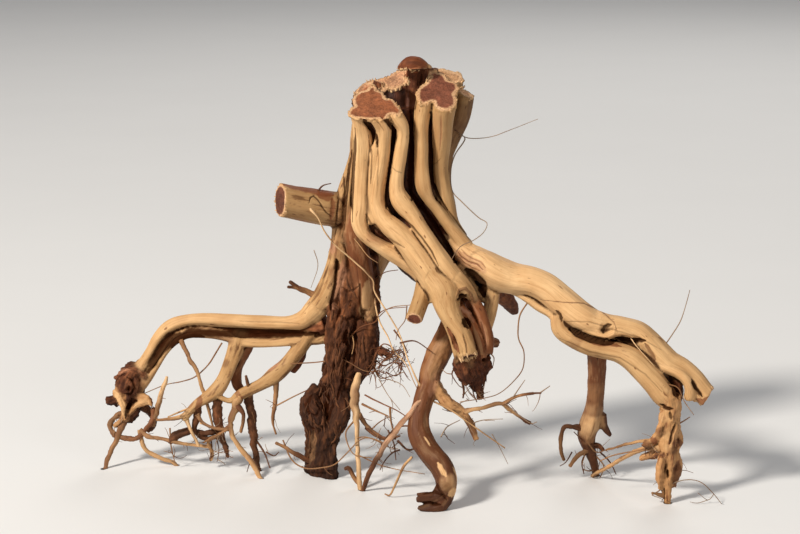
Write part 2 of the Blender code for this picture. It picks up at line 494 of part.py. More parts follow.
def cut_off(work, spot, facing):
    """Takes away what lies beyond a saw cut and closes the limb there."""
    sides = [*work.verts, *work.edges, *work.faces]
    cut = bmesh.ops.bisect_plane(work, geom=sides, plane_co=place(*spot), plane_no=facing, clear_outer=True)
    rim = [part for part in cut["geom_cut"] if isinstance(part, bmesh.types.BMEdge)]
    bmesh.ops.holes_fill(work, edges=rim)


def limb(name, route, steps, resolution):
    """A round limb along a route, as a closed mesh object."""
    curve = bpy.data.curves.new(name, "CURVE")
    curve.dimensions = "3D"
    curve.bevel_depth = 1.0
    curve.bevel_resolution = resolution
    curve.use_fill_caps = True
    spline = curve.splines.new("POLY")
    points = smooth_route(route, steps)
    spline.points.add(len(points) - 1)
    for point, (x, y, z, radius) in zip(spline.points, points):
        point.co = (x, y, z, 1.0)
        point.radius = radius
    guide = bpy.data.objects.new(name, curve)
    bpy.context.scene.collection.objects.link(guide)
    bpy.context.view_layer.update()
    mesh = bpy.data.meshes.new_from_object(guide.evaluated_get(bpy.context.evaluated_depsgraph_get()))
    bpy.data.objects.remove(guide)
    work = bmesh.new()
    work.from_mesh(mesh)
    bmesh.ops.remove_doubles(work, verts=work.verts, dist=0.00002)
    for spot, facing, names in CUTS.values():
        if name in names:
            cut_off(work, spot, facing)
    bmesh.ops.recalc_face_normals(work, faces=work.faces)
    work.to_mesh(mesh)
    work.free()
    return bpy.data.objects.new(name, mesh)


def joined(objects, name):
    """One object from several, their shapes kept as they are."""
    work = bmesh.new()
    for piece in objects:
        work.from_mesh(piece.data)
        bpy.data.objects.remove(piece)
    mesh = bpy.data.meshes.new(name)
    work.to_mesh(mesh)
    work.free()
    return bpy.data.objects.new(name, mesh)


def applied(piece):
    """Replaces the object's mesh by what its modifiers make of it."""
    bpy.context.view_layer.update()
    mesh = bpy.data.meshes.new_from_object(piece.evaluated_get(bpy.context.evaluated_depsgraph_get()))
    piece.modifiers.clear()
    piece.data = mesh


def join_rootlets(body):
    """Fuses the thin roots, which begin inside the limbs, with the body."""
    thin = bpy.data.collections.new("rootlets")
    bpy.context.scene.collection.children.link(thin)
    for name, route in ROOTLETS.items():
        thin.objects.link(limb(name, route, ROOTLET_STEPS, ROOTLET_SIDES))
    fuse = body.modifiers.new("rootlets", "BOOLEAN")
    fuse.operation = "UNION"
    fuse.solver = "MANIFOLD"
    fuse.operand_type = "COLLECTION"
    fuse.collection = thin
    applied(body)
    for rootlet in list(thin.objects):
        bpy.data.objects.remove(rootlet)
    bpy.data.collections.remove(thin)


def level_feet(body):
    """Cuts every foot flat where it meets the floor."""
    bpy.ops.mesh.primitive_cube_add(size=1.0)
    floor = bpy.context.object
    floor.name = "floor"
    floor.data.transform(Matrix.Translation((0, 0, -0.5)))
    cut = body.modifiers.new("floor", "BOOLEAN")
    cut.operation = "DIFFERENCE"
    cut.solver = "MANIFOLD"
    cut.object = floor
    applied(body)
    bpy.data.objects.remove(floor)


def triangles(mesh):
    """How many triangles the mesh has."""
    return sum(len(face.vertices) - 2 for face in mesh.polygons)


def fused_body(collection):
    """The stump and arms, fused into one skin and eased to few triangles."""
    limbs = [limb(name, route, BODY_STEPS, BODY_SIDES) for name, route in {**STUMP, **ARMS}.items()]
    body = joined(limbs, "root")
    collection.objects.link(body)
    fuse = body.modifiers.new("fuse", "REMESH")
    fuse.mode = "VOXEL"
    fuse.voxel_size = FUSE_GRID * MM
    ease = body.modifiers.new("ease", "SMOOTH")
    ease.factor = FUSE_SMOOTH
    ease.iterations = FUSE_SMOOTH_ROUNDS
    applied(body)
    thin = body.modifiers.new("thin", "DECIMATE")
    thin.ratio = BODY_TRIANGLES / triangles(body.data)
    applied(body)
    return body


def wood():
    """Pale peeled root wood."""
    material = bpy.data.materials.new("root_wood")
    material.use_nodes = True
    shader = material.node_tree.nodes["Principled BSDF"]
    shader.inputs["Base Color"].default_value = WOOD_COLOUR
    shader.inputs["Roughness"].default_value = 0.75
    shader.inputs["Metallic"].default_value = 0.0
    return material


def main():
    for old in list(bpy.data.objects):
        bpy.data.objects.remove(old)
    collection = bpy.data.collections.new("dry_root")
    bpy.context.scene.collection.children.link(collection)

    root = fused_body(collection)
    join_rootlets(root)
    level_feet(root)
    root.data.materials.clear()
    root.data.materials.append(wood())
    root.data.shade_smooth()
    root.data.set_sharp_from_angle(angle=math.radians(50))


main()
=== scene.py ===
"""The looks of the dry root: fine wood, bark, saw cuts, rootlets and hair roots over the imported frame."""

import math
from types import SimpleNamespace

import bmesh
import bpy
import numpy as np
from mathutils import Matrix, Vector
from mathutils.bvhtree import BVHTree


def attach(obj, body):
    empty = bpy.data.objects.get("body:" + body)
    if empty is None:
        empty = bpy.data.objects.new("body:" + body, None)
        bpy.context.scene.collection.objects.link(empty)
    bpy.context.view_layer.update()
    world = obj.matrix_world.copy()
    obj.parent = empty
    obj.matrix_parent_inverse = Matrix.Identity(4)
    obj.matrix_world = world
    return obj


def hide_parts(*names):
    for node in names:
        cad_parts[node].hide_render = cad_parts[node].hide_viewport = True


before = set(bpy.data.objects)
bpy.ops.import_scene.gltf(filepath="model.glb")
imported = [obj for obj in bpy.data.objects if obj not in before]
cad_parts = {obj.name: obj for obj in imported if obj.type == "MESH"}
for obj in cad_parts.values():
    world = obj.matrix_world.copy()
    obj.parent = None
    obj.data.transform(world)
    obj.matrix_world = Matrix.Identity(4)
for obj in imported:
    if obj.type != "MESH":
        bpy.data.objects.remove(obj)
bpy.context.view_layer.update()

MM = 0.001

# How the routes are read: the eye's height angle and distance, and the depth and level of the front foot
SIGHT = math.radians(12.0)
EYE = 2200.0
EYE_LINE = 243.0
FOOT_BACK = -110.0
MIDDLE = (-0.65, -23.75)

# The camera of the photograph, its picture's width and middle, and the picture line where the routes start
CAMERA_SPOT = (0.0007, -2.1282, 0.6754)
CAMERA_TILT = math.radians(78.0)
LENS = 99.0
SENSOR = 36.0
PICTURE_WIDTH = 800
PICTURE_MIDDLE = (400, 267)
FOOT_LINE = 510

# Sizes of the fine mesh, in millimetres
GRID = 1.3
LIMB_STEP = 3.0
FIELD_STEP = 2.2
LIMB_SIDES = 20
LIMB_WAVE = 0.035
SLAB_TRIANGLES = 180000

# Thin roots: steps along them in millimetres, sides, and how slender the thinnest and the others are
ROOTLET_STEP = 1.8
ROOTLET_SIDES = 10
SLENDER_BELOW = 1.6
SLENDER = (0.68, 0.9)
HAIR_STEP = 3.0
HAIR_SIDES = 6
WISP_STEP = 2
WISP_SIDES = 5
CARRIER_STEP = 2.4

# The soft boxes: place, size, power and colour; and the surroundings' light
LIGHTS = {
    "key": ((-3.7, -3.0, 3.8), 1.0, 425, (1.0, 0.95, 0.88)),
    "fill": ((3.4, -3.4, 2.2), 2.6, 26, (1.0, 0.97, 0.94)),
    "back": ((1.2, 4.0, 3.2), 2.4, 50, (1.0, 0.98, 0.95)),
}
LIGHT_TARGET = (0.0, 0.0, 0.2)
SKY_TINT = (0.93, 0.95, 1.0, 1)
SKY_STRENGTH = 0.25
FLOOR_TINT = (0.80, 0.79, 0.77)
FLOOR_SIZE = 60.0
FLOOR_SINK = -0.0002

# Strands of the stump, left to right, from the saw cuts down into the arms
STUMP = {
    "left_edge": [
        (-41, 396, -8, 5), (-43, 366, -2, 5.5), (-49, 340, 2, 6.5), (-55, 314, 4, 9), (-57, 287, 6, 10.5),
        (-59, 261, 8, 11), (-64, 237, 11, 12.5), (-75, 213, 15, 12.5), (-89, 195, 20, 11),
    ],
    "left_edge_inner": [
        (-44, 392, -18, 3.5), (-46, 372, -14, 3.6), (-47.5, 340, -12, 3.6), (-50, 320, -10, 3.6),
        (-52, 295, -8, 4), (-56, 268, -4, 5),
    ],
    "left_broad": [
        (-47, 412, -36, 9), (-42, 398, -38, 7.5), (-39, 386, -36, 7.5), (-37, 374, -33, 8.5),
        (-36.5, 358, -31, 9), (-37.5, 340, -30, 9), (-39, 320, -30, 9.3), (-39.5, 305, -31, 9.3),
        (-41, 290, -32, 8.5), (-38, 279, -34, 7.5), (-31, 271, -36, 6.5), (-20, 264, -38, 7),
        (-8, 257, -40, 8.5), (6, 249, -41, 9), (20, 240, -42, 10), (32, 226, -43, 10),
    ],
    "left_rib": [
        (-27, 412, -46, 8), (-25, 393, -47, 6.5), (-20, 380, -44, 4.8), (-21, 368, -40, 5),
        (-24, 356, -37, 5.6), (-25, 340, -36, 6), (-26, 320, -35, 6.6), (-27, 300, -34, 7.2),
        (-24, 287, -35, 7),
    ],
    "middle_rib": [
        (-20, 412, -46, 8), (-18, 393, -48, 7), (-15, 380, -46, 6), (-15.5, 366, -42, 6),
        (-17.5, 350, -39, 6.5), (-20, 336, -38, 6.6), (-22.5, 318, -37, 7), (-22, 305, -38, 8),
        (-15, 290, -41, 9.5), (-2, 278, -45, 11), (8, 267, -47, 12), (20, 252, -50, 13.5),
        (33, 233, -53, 14), (43, 213, -56, 14),
    ],
    "front_strand": [
        (-13, 414, -36, 8), (-8, 402, -41, 7), (-2, 391, -43, 7.2), (2.5, 384, -43, 6.6),
        (3.5, 378, -42, 6.4), (2.5, 368, -41, 6.8), (0, 352, -40, 6.9), (-2.5, 338, -40, 6.9),
        (-3.5, 322, -41, 7.6), (-0.5, 311, -43, 9.6), (6, 302, -46, 9.2), (13.5, 293, -49, 7.6),
        (20.5, 282, -52, 6.8), (28, 271, -55, 6.8), (36, 259, -57, 7.4), (45, 246, -59, 8.4),
        (54, 234, -60, 8.6), (62, 224, -61, 7.5), (67, 215, -60, 6),
    ],
    "left_head": [
        (-54, 404, -36, 4.5), (-45, 398, -43, 6), (-31, 394, -47, 6), (-19, 394, -47, 6),
        (-10, 401, -42, 6), (-6, 410, -36, 5),
    ],
    "left_inner": [
        (-26, 404, -26, 14), (-20, 372, -20, 14), (-18, 335, -18, 14), (-18, 300, -20, 14),
        (-20, 276, -18, 13), (-10, 262, -22, 12),
    ],
    "left_fill": [(-33, 432, -22, 18), (-31, 408, -22, 17), (-28, 375, -18, 14), (-24, 335, -12, 13)],
    "left_fill_right": [(-14, 422, -34, 9), (-13, 406, -33, 9), (-12, 392, -35, 7)],
    "left_fill_mid": [(-28, 424, -36, 10), (-28, 408, -37, 9.5), (-27, 394, -38, 8)],
    "right_fill": [(39, 446, -9, 10.5), (38, 428, -13, 12), (36, 404, -16, 12)],
    "right_strand": [
        (32, 432, -22, 11), (27, 416, -24, 10.5), (22.5, 398, -28, 8.4), (21, 380, -31, 7.2),
        (21.5, 360, -33, 7), (21.5, 342, -33, 7.2), (23.5, 323, -33, 7.2), (29.5, 310, -33, 5.6),
        (36, 302, -33, 5.2), (42, 294, -33, 5.4), (48.5, 285, -33, 5.8), (57, 274, -33, 6.8),
        (66, 262, -33, 8),
    ],
    "right_broad": [
        (47, 424, -30, 11.5), (45, 404, -34, 11), (43, 385, -28, 10), (41.5, 360, -22, 8.8),
        (40.5, 340, -20, 8.2), (43, 322, -21, 8.6), (45, 309, -23, 8.4), (48, 297, -24, 8),
        (52, 285, -24, 7.5), (60, 271, -25, 8),
    ],
    "right_lobe": [(50, 438, -17, 9.5), (48, 420, -18, 10), (44, 395, -12, 10), (38, 365, -6, 10)],
    "right_edge": [
        (66, 430, 8, 8), (64, 412, 8, 9), (60, 393, 8, 9), (52, 374, 5, 8.5), (45, 356, 2, 8),
        (42, 340, 0, 8.5), (43, 321, -2, 9), (47, 303, -6, 9), (52, 285, -10, 8), (60, 270, -15, 8),
    ],
    "core": [
        (-2, 402, 0, 22), (2, 362, 0, 25), (3, 322, 2, 27), (8, 285, -4, 27), (18, 258, -14, 24),
        (34, 238, -24, 20), (46, 218, -28, 16),
    ],
    "right_inner": [
        (30, 412, -6, 12), (30, 380, -8, 11), (30, 345, -8, 12), (34, 312, -14, 12), (44, 285, -22, 10),
    ],
    "core_right": [(30, 442, 8, 9), (28, 416, 6, 12), (22, 390, 0, 14)],
    "core_crown": [(12, 436, 10, 10), (16, 410, 8, 14), (16, 385, 4, 16)],
    "back_left": [
        (-20, 414, 20, 14), (-24, 380, 22, 15), (-32, 340, 22, 15.5), (-38, 298, 22, 17),
        (-44, 257, 23, 17), (-48, 222, 28, 17),
    ],
    "back_middle": [
        (-4, 424, 30, 13), (-10, 388, 33, 13.5), (-14, 348, 35, 15), (-14, 308, 37, 15), (-24, 265, 34, 17),
        (-38, 228, 30, 16),
    ],
    "back_right": [
        (26, 428, 26, 12), (21, 392, 32, 13), (17, 352, 36, 13.5), (16, 312, 36, 15), (26, 274, 25, 16),
        (42, 246, 8, 15), (58, 236, -8, 14),
    ],
    "back_rib": [
        (38, 424, 24, 8), (34, 386, 32, 8), (28, 346, 38, 8), (12, 308, 50, 7.5), (-6, 272, 50, 8),
        (-28, 238, 42, 10),
    ],
    "back_seam": [
        (-12, 404, 40, 6), (-21, 364, 43, 6.5), (-31, 322, 40, 7.5), (-40, 284, 37, 8), (-50, 244, 36, 9),
    ],
    "split_top": [
        (44, 452, 12, 9), (44, 425, 14, 11), (42, 385, 16, 12), (37, 345, 14, 12), (36, 305, 8, 12),
    ],
    "split_web": [(56, 452, 14, 7), (54, 425, 14, 9), (50, 400, 12, 10)],
    "core_left": [(-25, 428, 6, 8), (-26, 410, 2, 11), (-26, 388, -2, 12)],
    "core_gap": [(24, 306, -10, 15), (36, 288, -14, 13), (48, 270, -18, 12), (58, 254, -22, 10)],
    "torn_top": [(-1, 446, 10, 12), (-2, 420, 8, 13), (-4, 392, 4, 13)],
    "torn_top_left": [(-20, 446, 9, 9.5), (-20, 420, 6, 11), (-17, 392, 4, 12)],
    "torn_edge": [(-35, 434, 4, 7), (-36, 416, 2, 8.5), (-37, 390, 2, 8)],
    "cap_stem": [(14, 441, 4, 7), (13, 410, 4, 9), (12, 382, 0, 10)],
    "cap": [
        (-2, 440.5, -7, 3), (4, 442, -8, 7.5), (12, 443.5, -9, 10.5), (21, 442.5, -9, 9),
        (28, 440, -8, 5.5), (33, 438, -7, 2.5),
    ],
}


ARMS = {
    "left_arm_top": [
        (-82, 203, 17, 12), (-96, 191, 21, 9.5), (-115, 187, 24, 7.6), (-145, 188, 29, 7.2),
        (-175, 190, 35, 6.8), (-200, 191, 41, 6.2), (-220, 188, 45, 6), (-233, 181, 48, 6),
        (-242, 171, 50, 6), (-248, 160, 51, 6), (-255, 148, 52, 7), (-262, 137, 53, 8.5),
    ],
    "left_arm_rim": [
        (-66, 176, 22, 7), (-82, 170, 22, 5), (-100, 170, 22, 5), (-130, 167, 25, 5), (-155, 168, 28, 5),
        (-170, 173, 32, 5.5), (-190, 177, 37, 5), (-210, 177, 41, 5), (-224, 171, 43, 5.5),
        (-235, 159, 45, 5), (-243, 147, 47, 5), (-252, 134, 50, 6), (-261, 124, 52, 8),
    ],
    "left_arm_core": [
        (-74, 188, 22, 12), (-100, 179, 28, 9), (-130, 177, 34, 9), (-160, 179, 40, 8.5),
        (-190, 182, 47, 8), (-215, 180, 51, 7), (-234, 169, 52, 6.5), (-247, 149, 55, 6.5),
        (-262, 130, 57, 9),
    ],
    "left_knot": [(-259, 142, 54, 8), (-267, 134, 53, 13), (-270, 122, 53, 15), (-269, 108, 54, 11)],
    "left_knot_brow": [
        (-283, 131, 50, 3.6), (-276, 137, 48, 4.2), (-265, 140, 47, 4.2), (-255, 133, 46, 4),
    ],
    "left_knot_fill": [(-268, 114, 55, 10), (-268, 100, 53, 8.5), (-272, 88, 51, 6)],
    "left_knot_ridge": [(-285, 121, 47, 3.4), (-280, 112, 44, 4), (-276, 102, 43, 4), (-274, 90, 43, 3.4)],
    "left_knot_lobe": [
        (-266, 115, 47, 4.6), (-258, 113, 45, 4.2), (-252, 111, 43, 3.6), (-248, 104, 42, 2.2),
    ],
    "left_knot_strip": [
        (-249, 109, 44, 3), (-258, 107, 43, 3.8), (-267, 101, 43, 3.4), (-274, 94, 43, 2.8),
        (-280, 88, 43, 2.8), (-286, 83, 44, 2.6),
    ],
    "left_knot_stub": [(-276, 112, 50, 6), (-287, 110, 48, 5.5), (-294, 109, 47, 5)],
    "left_branch": [
        (-160, 174, 33, 9), (-165, 158, 30, 8), (-170, 145, 27, 7.5), (-176, 131, 25, 7),
        (-183, 120, 23, 7.5), (-193, 112, 22, 6.5), (-203, 106, 22, 5.5), (-211, 98, 22, 5),
        (-216, 90, 22, 3.5),
    ],
    "left_branch_back": [
        (-150, 174, 36, 8), (-157, 157, 38, 7.5), (-164, 140, 40, 6.5), (-163, 126, 38, 5.5),
        (-155, 115, 36, 4),
    ],
    "inner_branch": [
        (-90, 177, 24, 9), (-100, 162, 24, 8), (-113, 146, 21, 7.5), (-126, 134, 18, 8), (-138, 126, 17, 6),
        (-150, 120, 17, 5.5), (-161, 114, 17, 5), (-169, 109, 18, 3.2), (-177, 111, 19, 3),
        (-184, 116, 21, 3.5),
    ],
    "inner_branch_flap": [(-98, 172, 33, 8), (-102, 152, 34, 7), (-109, 138, 33, 4.5)],
    "left_stub": [
        (-44, 297, 14, 16), (-68, 300, 6, 18), (-90, 304, -2, 18), (-106, 307, -9, 17),
        (-121, 310, -15, 16.5),
    ],
    "upper_web": [
        (-44, 305, -4, 9), (-46, 280, -4, 11), (-41, 256, 0, 12), (-38, 232, 6, 12), (-38, 205, 12, 11),
    ],
    "post": [
        (-50, 262, 18, 18), (-48, 240, 20, 21), (-49, 215, 22, 22), (-51, 186, 23, 22), (-54, 160, 22, 21),
        (-59, 134, 19, 19), (-66, 110, 16, 18), (-72, 88, 12, 16), (-76, 66, 9, 13), (-79, 47, 8, 12),
        (-79, 24, 7, 12.5),
    ],
    "post_ridge": [
        (-50, 204, 4, 7), (-56, 184, 1, 8), (-60, 164, 0, 7), (-64, 144, 2, 7), (-62, 122, 2, 7),
        (-58, 104, 0, 7), (-60, 88, -1, 5),
    ],
    "post_right": [
        (-32, 255, 14, 9), (-31, 230, 16, 11), (-31, 205, 17, 12), (-32, 178, 18, 12.5), (-34, 158, 17, 12),
        (-42, 140, 16, 10), (-50, 124, 14, 8),
    ],
    "post_lump_left": [
        (-82, 124, 10, 6), (-88, 114, 7, 8), (-88, 104, 3, 10), (-83, 95, 1, 9.5), (-85, 85, 4, 6.5),
    ],
    "post_lump_fold": [(-92, 112, 14, 7), (-94, 98, 12, 7), (-90, 84, 12, 7), (-88, 70, 12, 6)],
    "post_lump_right": [
        (-60, 118, 4, 8), (-58, 103, 0, 9), (-62, 88, -2, 9), (-67, 76, 0, 5.5), (-69, 68, 3, 3),
    ],
    "post_burr": [(-36, 162, 8, 8), (-26, 160, 2, 5), (-17, 158, -4, 4), (-8, 152, -8, 2.5)],
    "post_bulge": [(-36, 190, 8, 9), (-32, 172, 4, 12), (-34, 152, 5, 11), (-40, 138, 8, 8)],
    "post_strand_left": [
        (-66, 205, 6, 6), (-68, 184, 4, 6), (-69, 160, 4, 6.5), (-68, 138, 4, 6), (-74, 126, 4, 6),
    ],
    "post_toe_left": [(-88, 84, 12, 7), (-88, 66, 13, 7), (-89, 48, 14, 7), (-87, 32, 14, 7.5)],
    "post_toe_right": [(-70, 66, 4, 7), (-69, 48, 0, 7.5), (-70, 34, -3, 8), (-69, 22, -5, 8)],
    "front_arm": [
        (32, 236, -54, 13), (44, 220, -60, 15), (47, 205, -66, 12.5), (52, 192, -71, 10.5),
        (60, 180, -75, 9.5), (66, 168, -79, 8.5), (69.5, 157, -82, 7.8), (71, 146, -84, 7.5),
    ],
    "front_arm_rib": [
        (42, 198, -68, 4.5), (47, 184, -74, 3.2), (52, 170, -77, 2.8), (55, 156, -78, 2.6),
        (57, 148, -78, 1.6),
    ],
    "front_arm_torn": [(58, 182, -74, 5), (60, 168, -80, 4.4), (61, 157, -83, 4.2), (61, 150, -84, 2.6)],
    "hole_rim": [(56, 233, -62, 7), (65, 224, -62, 5.5), (71, 217, -60, 4.5), (74, 211, -58, 4)],
    "bark_leg": [
        (63, 214, -60, 3.5), (68, 217, -58, 4.5), (74, 210, -56, 5), (80, 198, -56, 5.5),
        (85, 184, -58, 5.5), (88, 170, -60, 5.5), (86, 157, -62, 6.5),
    ],
    "bark_leg_inner": [
        (60, 204, -58, 4), (67, 194, -57, 4.5), (73, 181, -60, 5.5), (78, 167, -62, 6), (80, 152, -64, 7),
    ],
    "bark_leg_back": [(70, 214, -46, 7), (76, 198, -50, 7), (80, 180, -54, 7.5), (82, 162, -58, 8)],
    "right_leg": [
        (90, 228, -30, 10), (92, 213, -35, 8), (90, 197, -42, 6.5), (87, 182, -49, 5.5), (84, 168, -54, 6),
        (80, 154, -59, 7),
    ],
    "right_leg_knob": [(82, 170, -48, 6), (91, 168, -42, 5.5), (98, 167, -38, 5)],
    "opening_back": [(50, 256, -20, 9), (62, 240, -20, 11), (74, 224, -22, 11), (82, 208, -26, 8)],
    "opening_strand": [
        (58, 246, -36, 4), (64, 238, -36, 4), (70, 228, -36, 3.6), (78, 218, -36, 3.6), (84, 208, -38, 3.6),
    ],
    "knot": [
        (68, 160, -68, 10), (70, 149, -66, 12), (74, 140, -62, 11), (76, 130, -58, 8), (79, 120, -56, 5),
        (80, 112, -55, 2.5),
    ],
    "knot_left": [(60, 152, -72, 7), (62, 144, -72, 8), (65, 135, -70, 7), (69, 128, -68, 5)],
    "knot_right": [(84, 152, -60, 8), (84, 142, -56, 7), (82, 132, -56, 5.5)],
    "front_stub": [(30, 246, -30, 10), (25, 226, -42, 9), (20, 208, -56, 8.8), (13, 188, -73, 8.6)],
    "front_root": [
        (56, 232, -24, 12), (56, 205, -28, 11), (51, 184, -33, 11), (45, 169, -38, 11),
        (38, 154, -44, 11.5), (31, 140, -50, 10.5), (28, 124, -56, 10), (23, 108, -63, 10),
        (19, 92, -70, 10.3), (20, 75, -77, 11.5), (29, 59, -84, 11.8), (41, 45, -90, 12), (47, 31, -97, 11),
        (46, 18, -102, 10), (40, 7, -106, 9.5), (32, -4, -108, 9),
    ],
    "front_foot_toe": [(45, 21, -104, 9), (37, 14, -109, 6.5), (27, 11, -111, 4.2), (16, 10, -112, 2.4)],
    "front_foot_tip": [(32, 14, -111, 4), (24, 15, -112, 2.6), (16, 16, -113, 1.5)],
    "front_foot_sole": [(45, 12, -104, 9), (37, 3, -110, 6.5), (26, 1, -112, 4.4), (17, 2, -113, 2.6)],
    "front_fork": [
        (34, 124, -56, 8), (43, 112, -58, 7), (50, 105, -59, 6.2), (59, 101, -58, 5.2), (66, 94, -57, 4.5),
        (71, 84, -56, 4), (76, 70, -56, 3),
    ],
    "right_arm": [
        (52, 272, -26, 9), (66, 257, -32, 12), (82, 246, -36, 15.5), (98, 236, -38, 16.5),
        (114, 231, -39, 15.5), (130, 229, -41, 14.5), (146, 222, -43, 14.5), (160, 210, -45, 15),
        (173, 199, -47, 15.5), (187, 190, -49, 15), (201, 185, -51, 12.5),
    ],
    "right_arm_upper": [
        (194, 188, -50, 12.5), (208, 186, -52, 10.5), (222, 184, -54, 10), (238, 178, -56, 10.5),
        (250, 167, -58, 11.5), (260, 156, -60, 12), (270, 147, -62, 11.5), (282, 141, -64, 10.5),
        (292, 132, -66, 10.5), (301, 121, -68, 10.5), (309, 111, -70, 10.5),
    ],
    "right_arm_loop": [
        (252, 150, -64, 4), (264, 143, -69, 4.6), (277, 137, -73, 4.8), (286, 130, -76, 4.8),
        (290, 120, -76, 5), (289, 111, -74, 5.4),
    ],
    "right_arm_heel": [(288, 132, -64, 6), (295, 119, -66, 6.5), (298, 109, -68, 6)],
    "right_arm_bridge": [
        (184, 182, -56, 5), (196, 176, -60, 3.8), (206, 174, -62, 3.6), (217, 178, -62, 4.2),
        (230, 177, -61, 4.5), (243, 172, -60, 5),
    ],
    "right_arm_back": [(182, 184, -38, 9), (202, 176, -42, 8), (226, 170, -48, 8), (250, 160, -54, 9)],
    "loop_back": [(262, 146, -54, 7), (270, 134, -56, 8), (276, 120, -60, 8), (274, 108, -64, 7)],
    "right_arm_lower": [
        (158, 194, -50, 7.5), (160, 181, -53, 8), (173, 171, -56, 8.5), (189, 164, -59, 9),
        (205, 160, -61, 9), (219, 157, -63, 10), (232, 150, -66, 11.3), (244, 138, -69, 11.8),
        (255, 126, -72, 12), (264, 115, -74, 11.8), (271, 106, -75, 10),
    ],
    "right_arm_feeder": [
        (100, 222, -40, 5), (112, 218, -42, 3), (126, 211, -45, 3.4), (138, 203, -47, 4),
        (150, 197, -49, 5), (159, 190, -51, 7),
    ],
    "back_spur": [
        (84, 234, -20, 11), (96, 221, -4, 10.5), (106, 211, 12, 8.5), (112, 203, 26, 6.5),
        (115, 198, 36, 4),
    ],
    "right_foot": [
        (269, 114, -75, 11), (271, 103, -76, 10.5), (271, 94, -77, 9.5), (270, 84, -78, 8.6),
        (268, 72, -80, 9.5), (268, 60, -82, 9), (269.5, 46, -83, 7), (268, 33, -85, 6), (267, 21, -86, 5),
        (267.5, 9, -87, 4.2), (268, -4, -88, 4.2),
    ],
    "right_foot_left": [
        (263, 97, -80, 4), (260, 84, -84, 3.6), (257, 74, -84, 4), (249, 66, -80, 4), (243, 66, -76, 3),
    ],
    "right_foot_right": [
        (277, 98, -74, 4.5), (276, 84, -76, 4.5), (280, 71, -77, 4.5), (276, 58, -80, 5),
        (279, 46, -80, 4.5), (275, 33, -82, 4.5), (273, 23, -83, 3),
    ],
    "right_foot_toe": [(262, 54, -88, 4.6), (260, 42, -89, 4), (259.5, 30, -89, 3.6), (260, 19, -88, 2.6)],
    "right_foot_heel": [(262, 60, -74, 6), (254, 56, -70, 5), (246, 53, -68, 4), (240, 51, -68, 2)],
    "back_leg": [
        (190, 182, -50, 10), (195, 168, -42, 9), (197, 152, -34, 9.2), (197, 134, -26, 8.6),
        (196, 116, -18, 8.5), (194, 100, -12, 9.2), (190, 86, -8, 10.5), (187, 74, -5, 9.5),
        (190, 60, -2, 6.5), (194, 47, 0, 5), (196, 36, 2, 4.2), (197, 20, 3, 4),
    ],
    "back_leg_side": [(202, 96, -12, 5), (205, 82, -8, 4), (211, 74, -6, 2.5)],
}


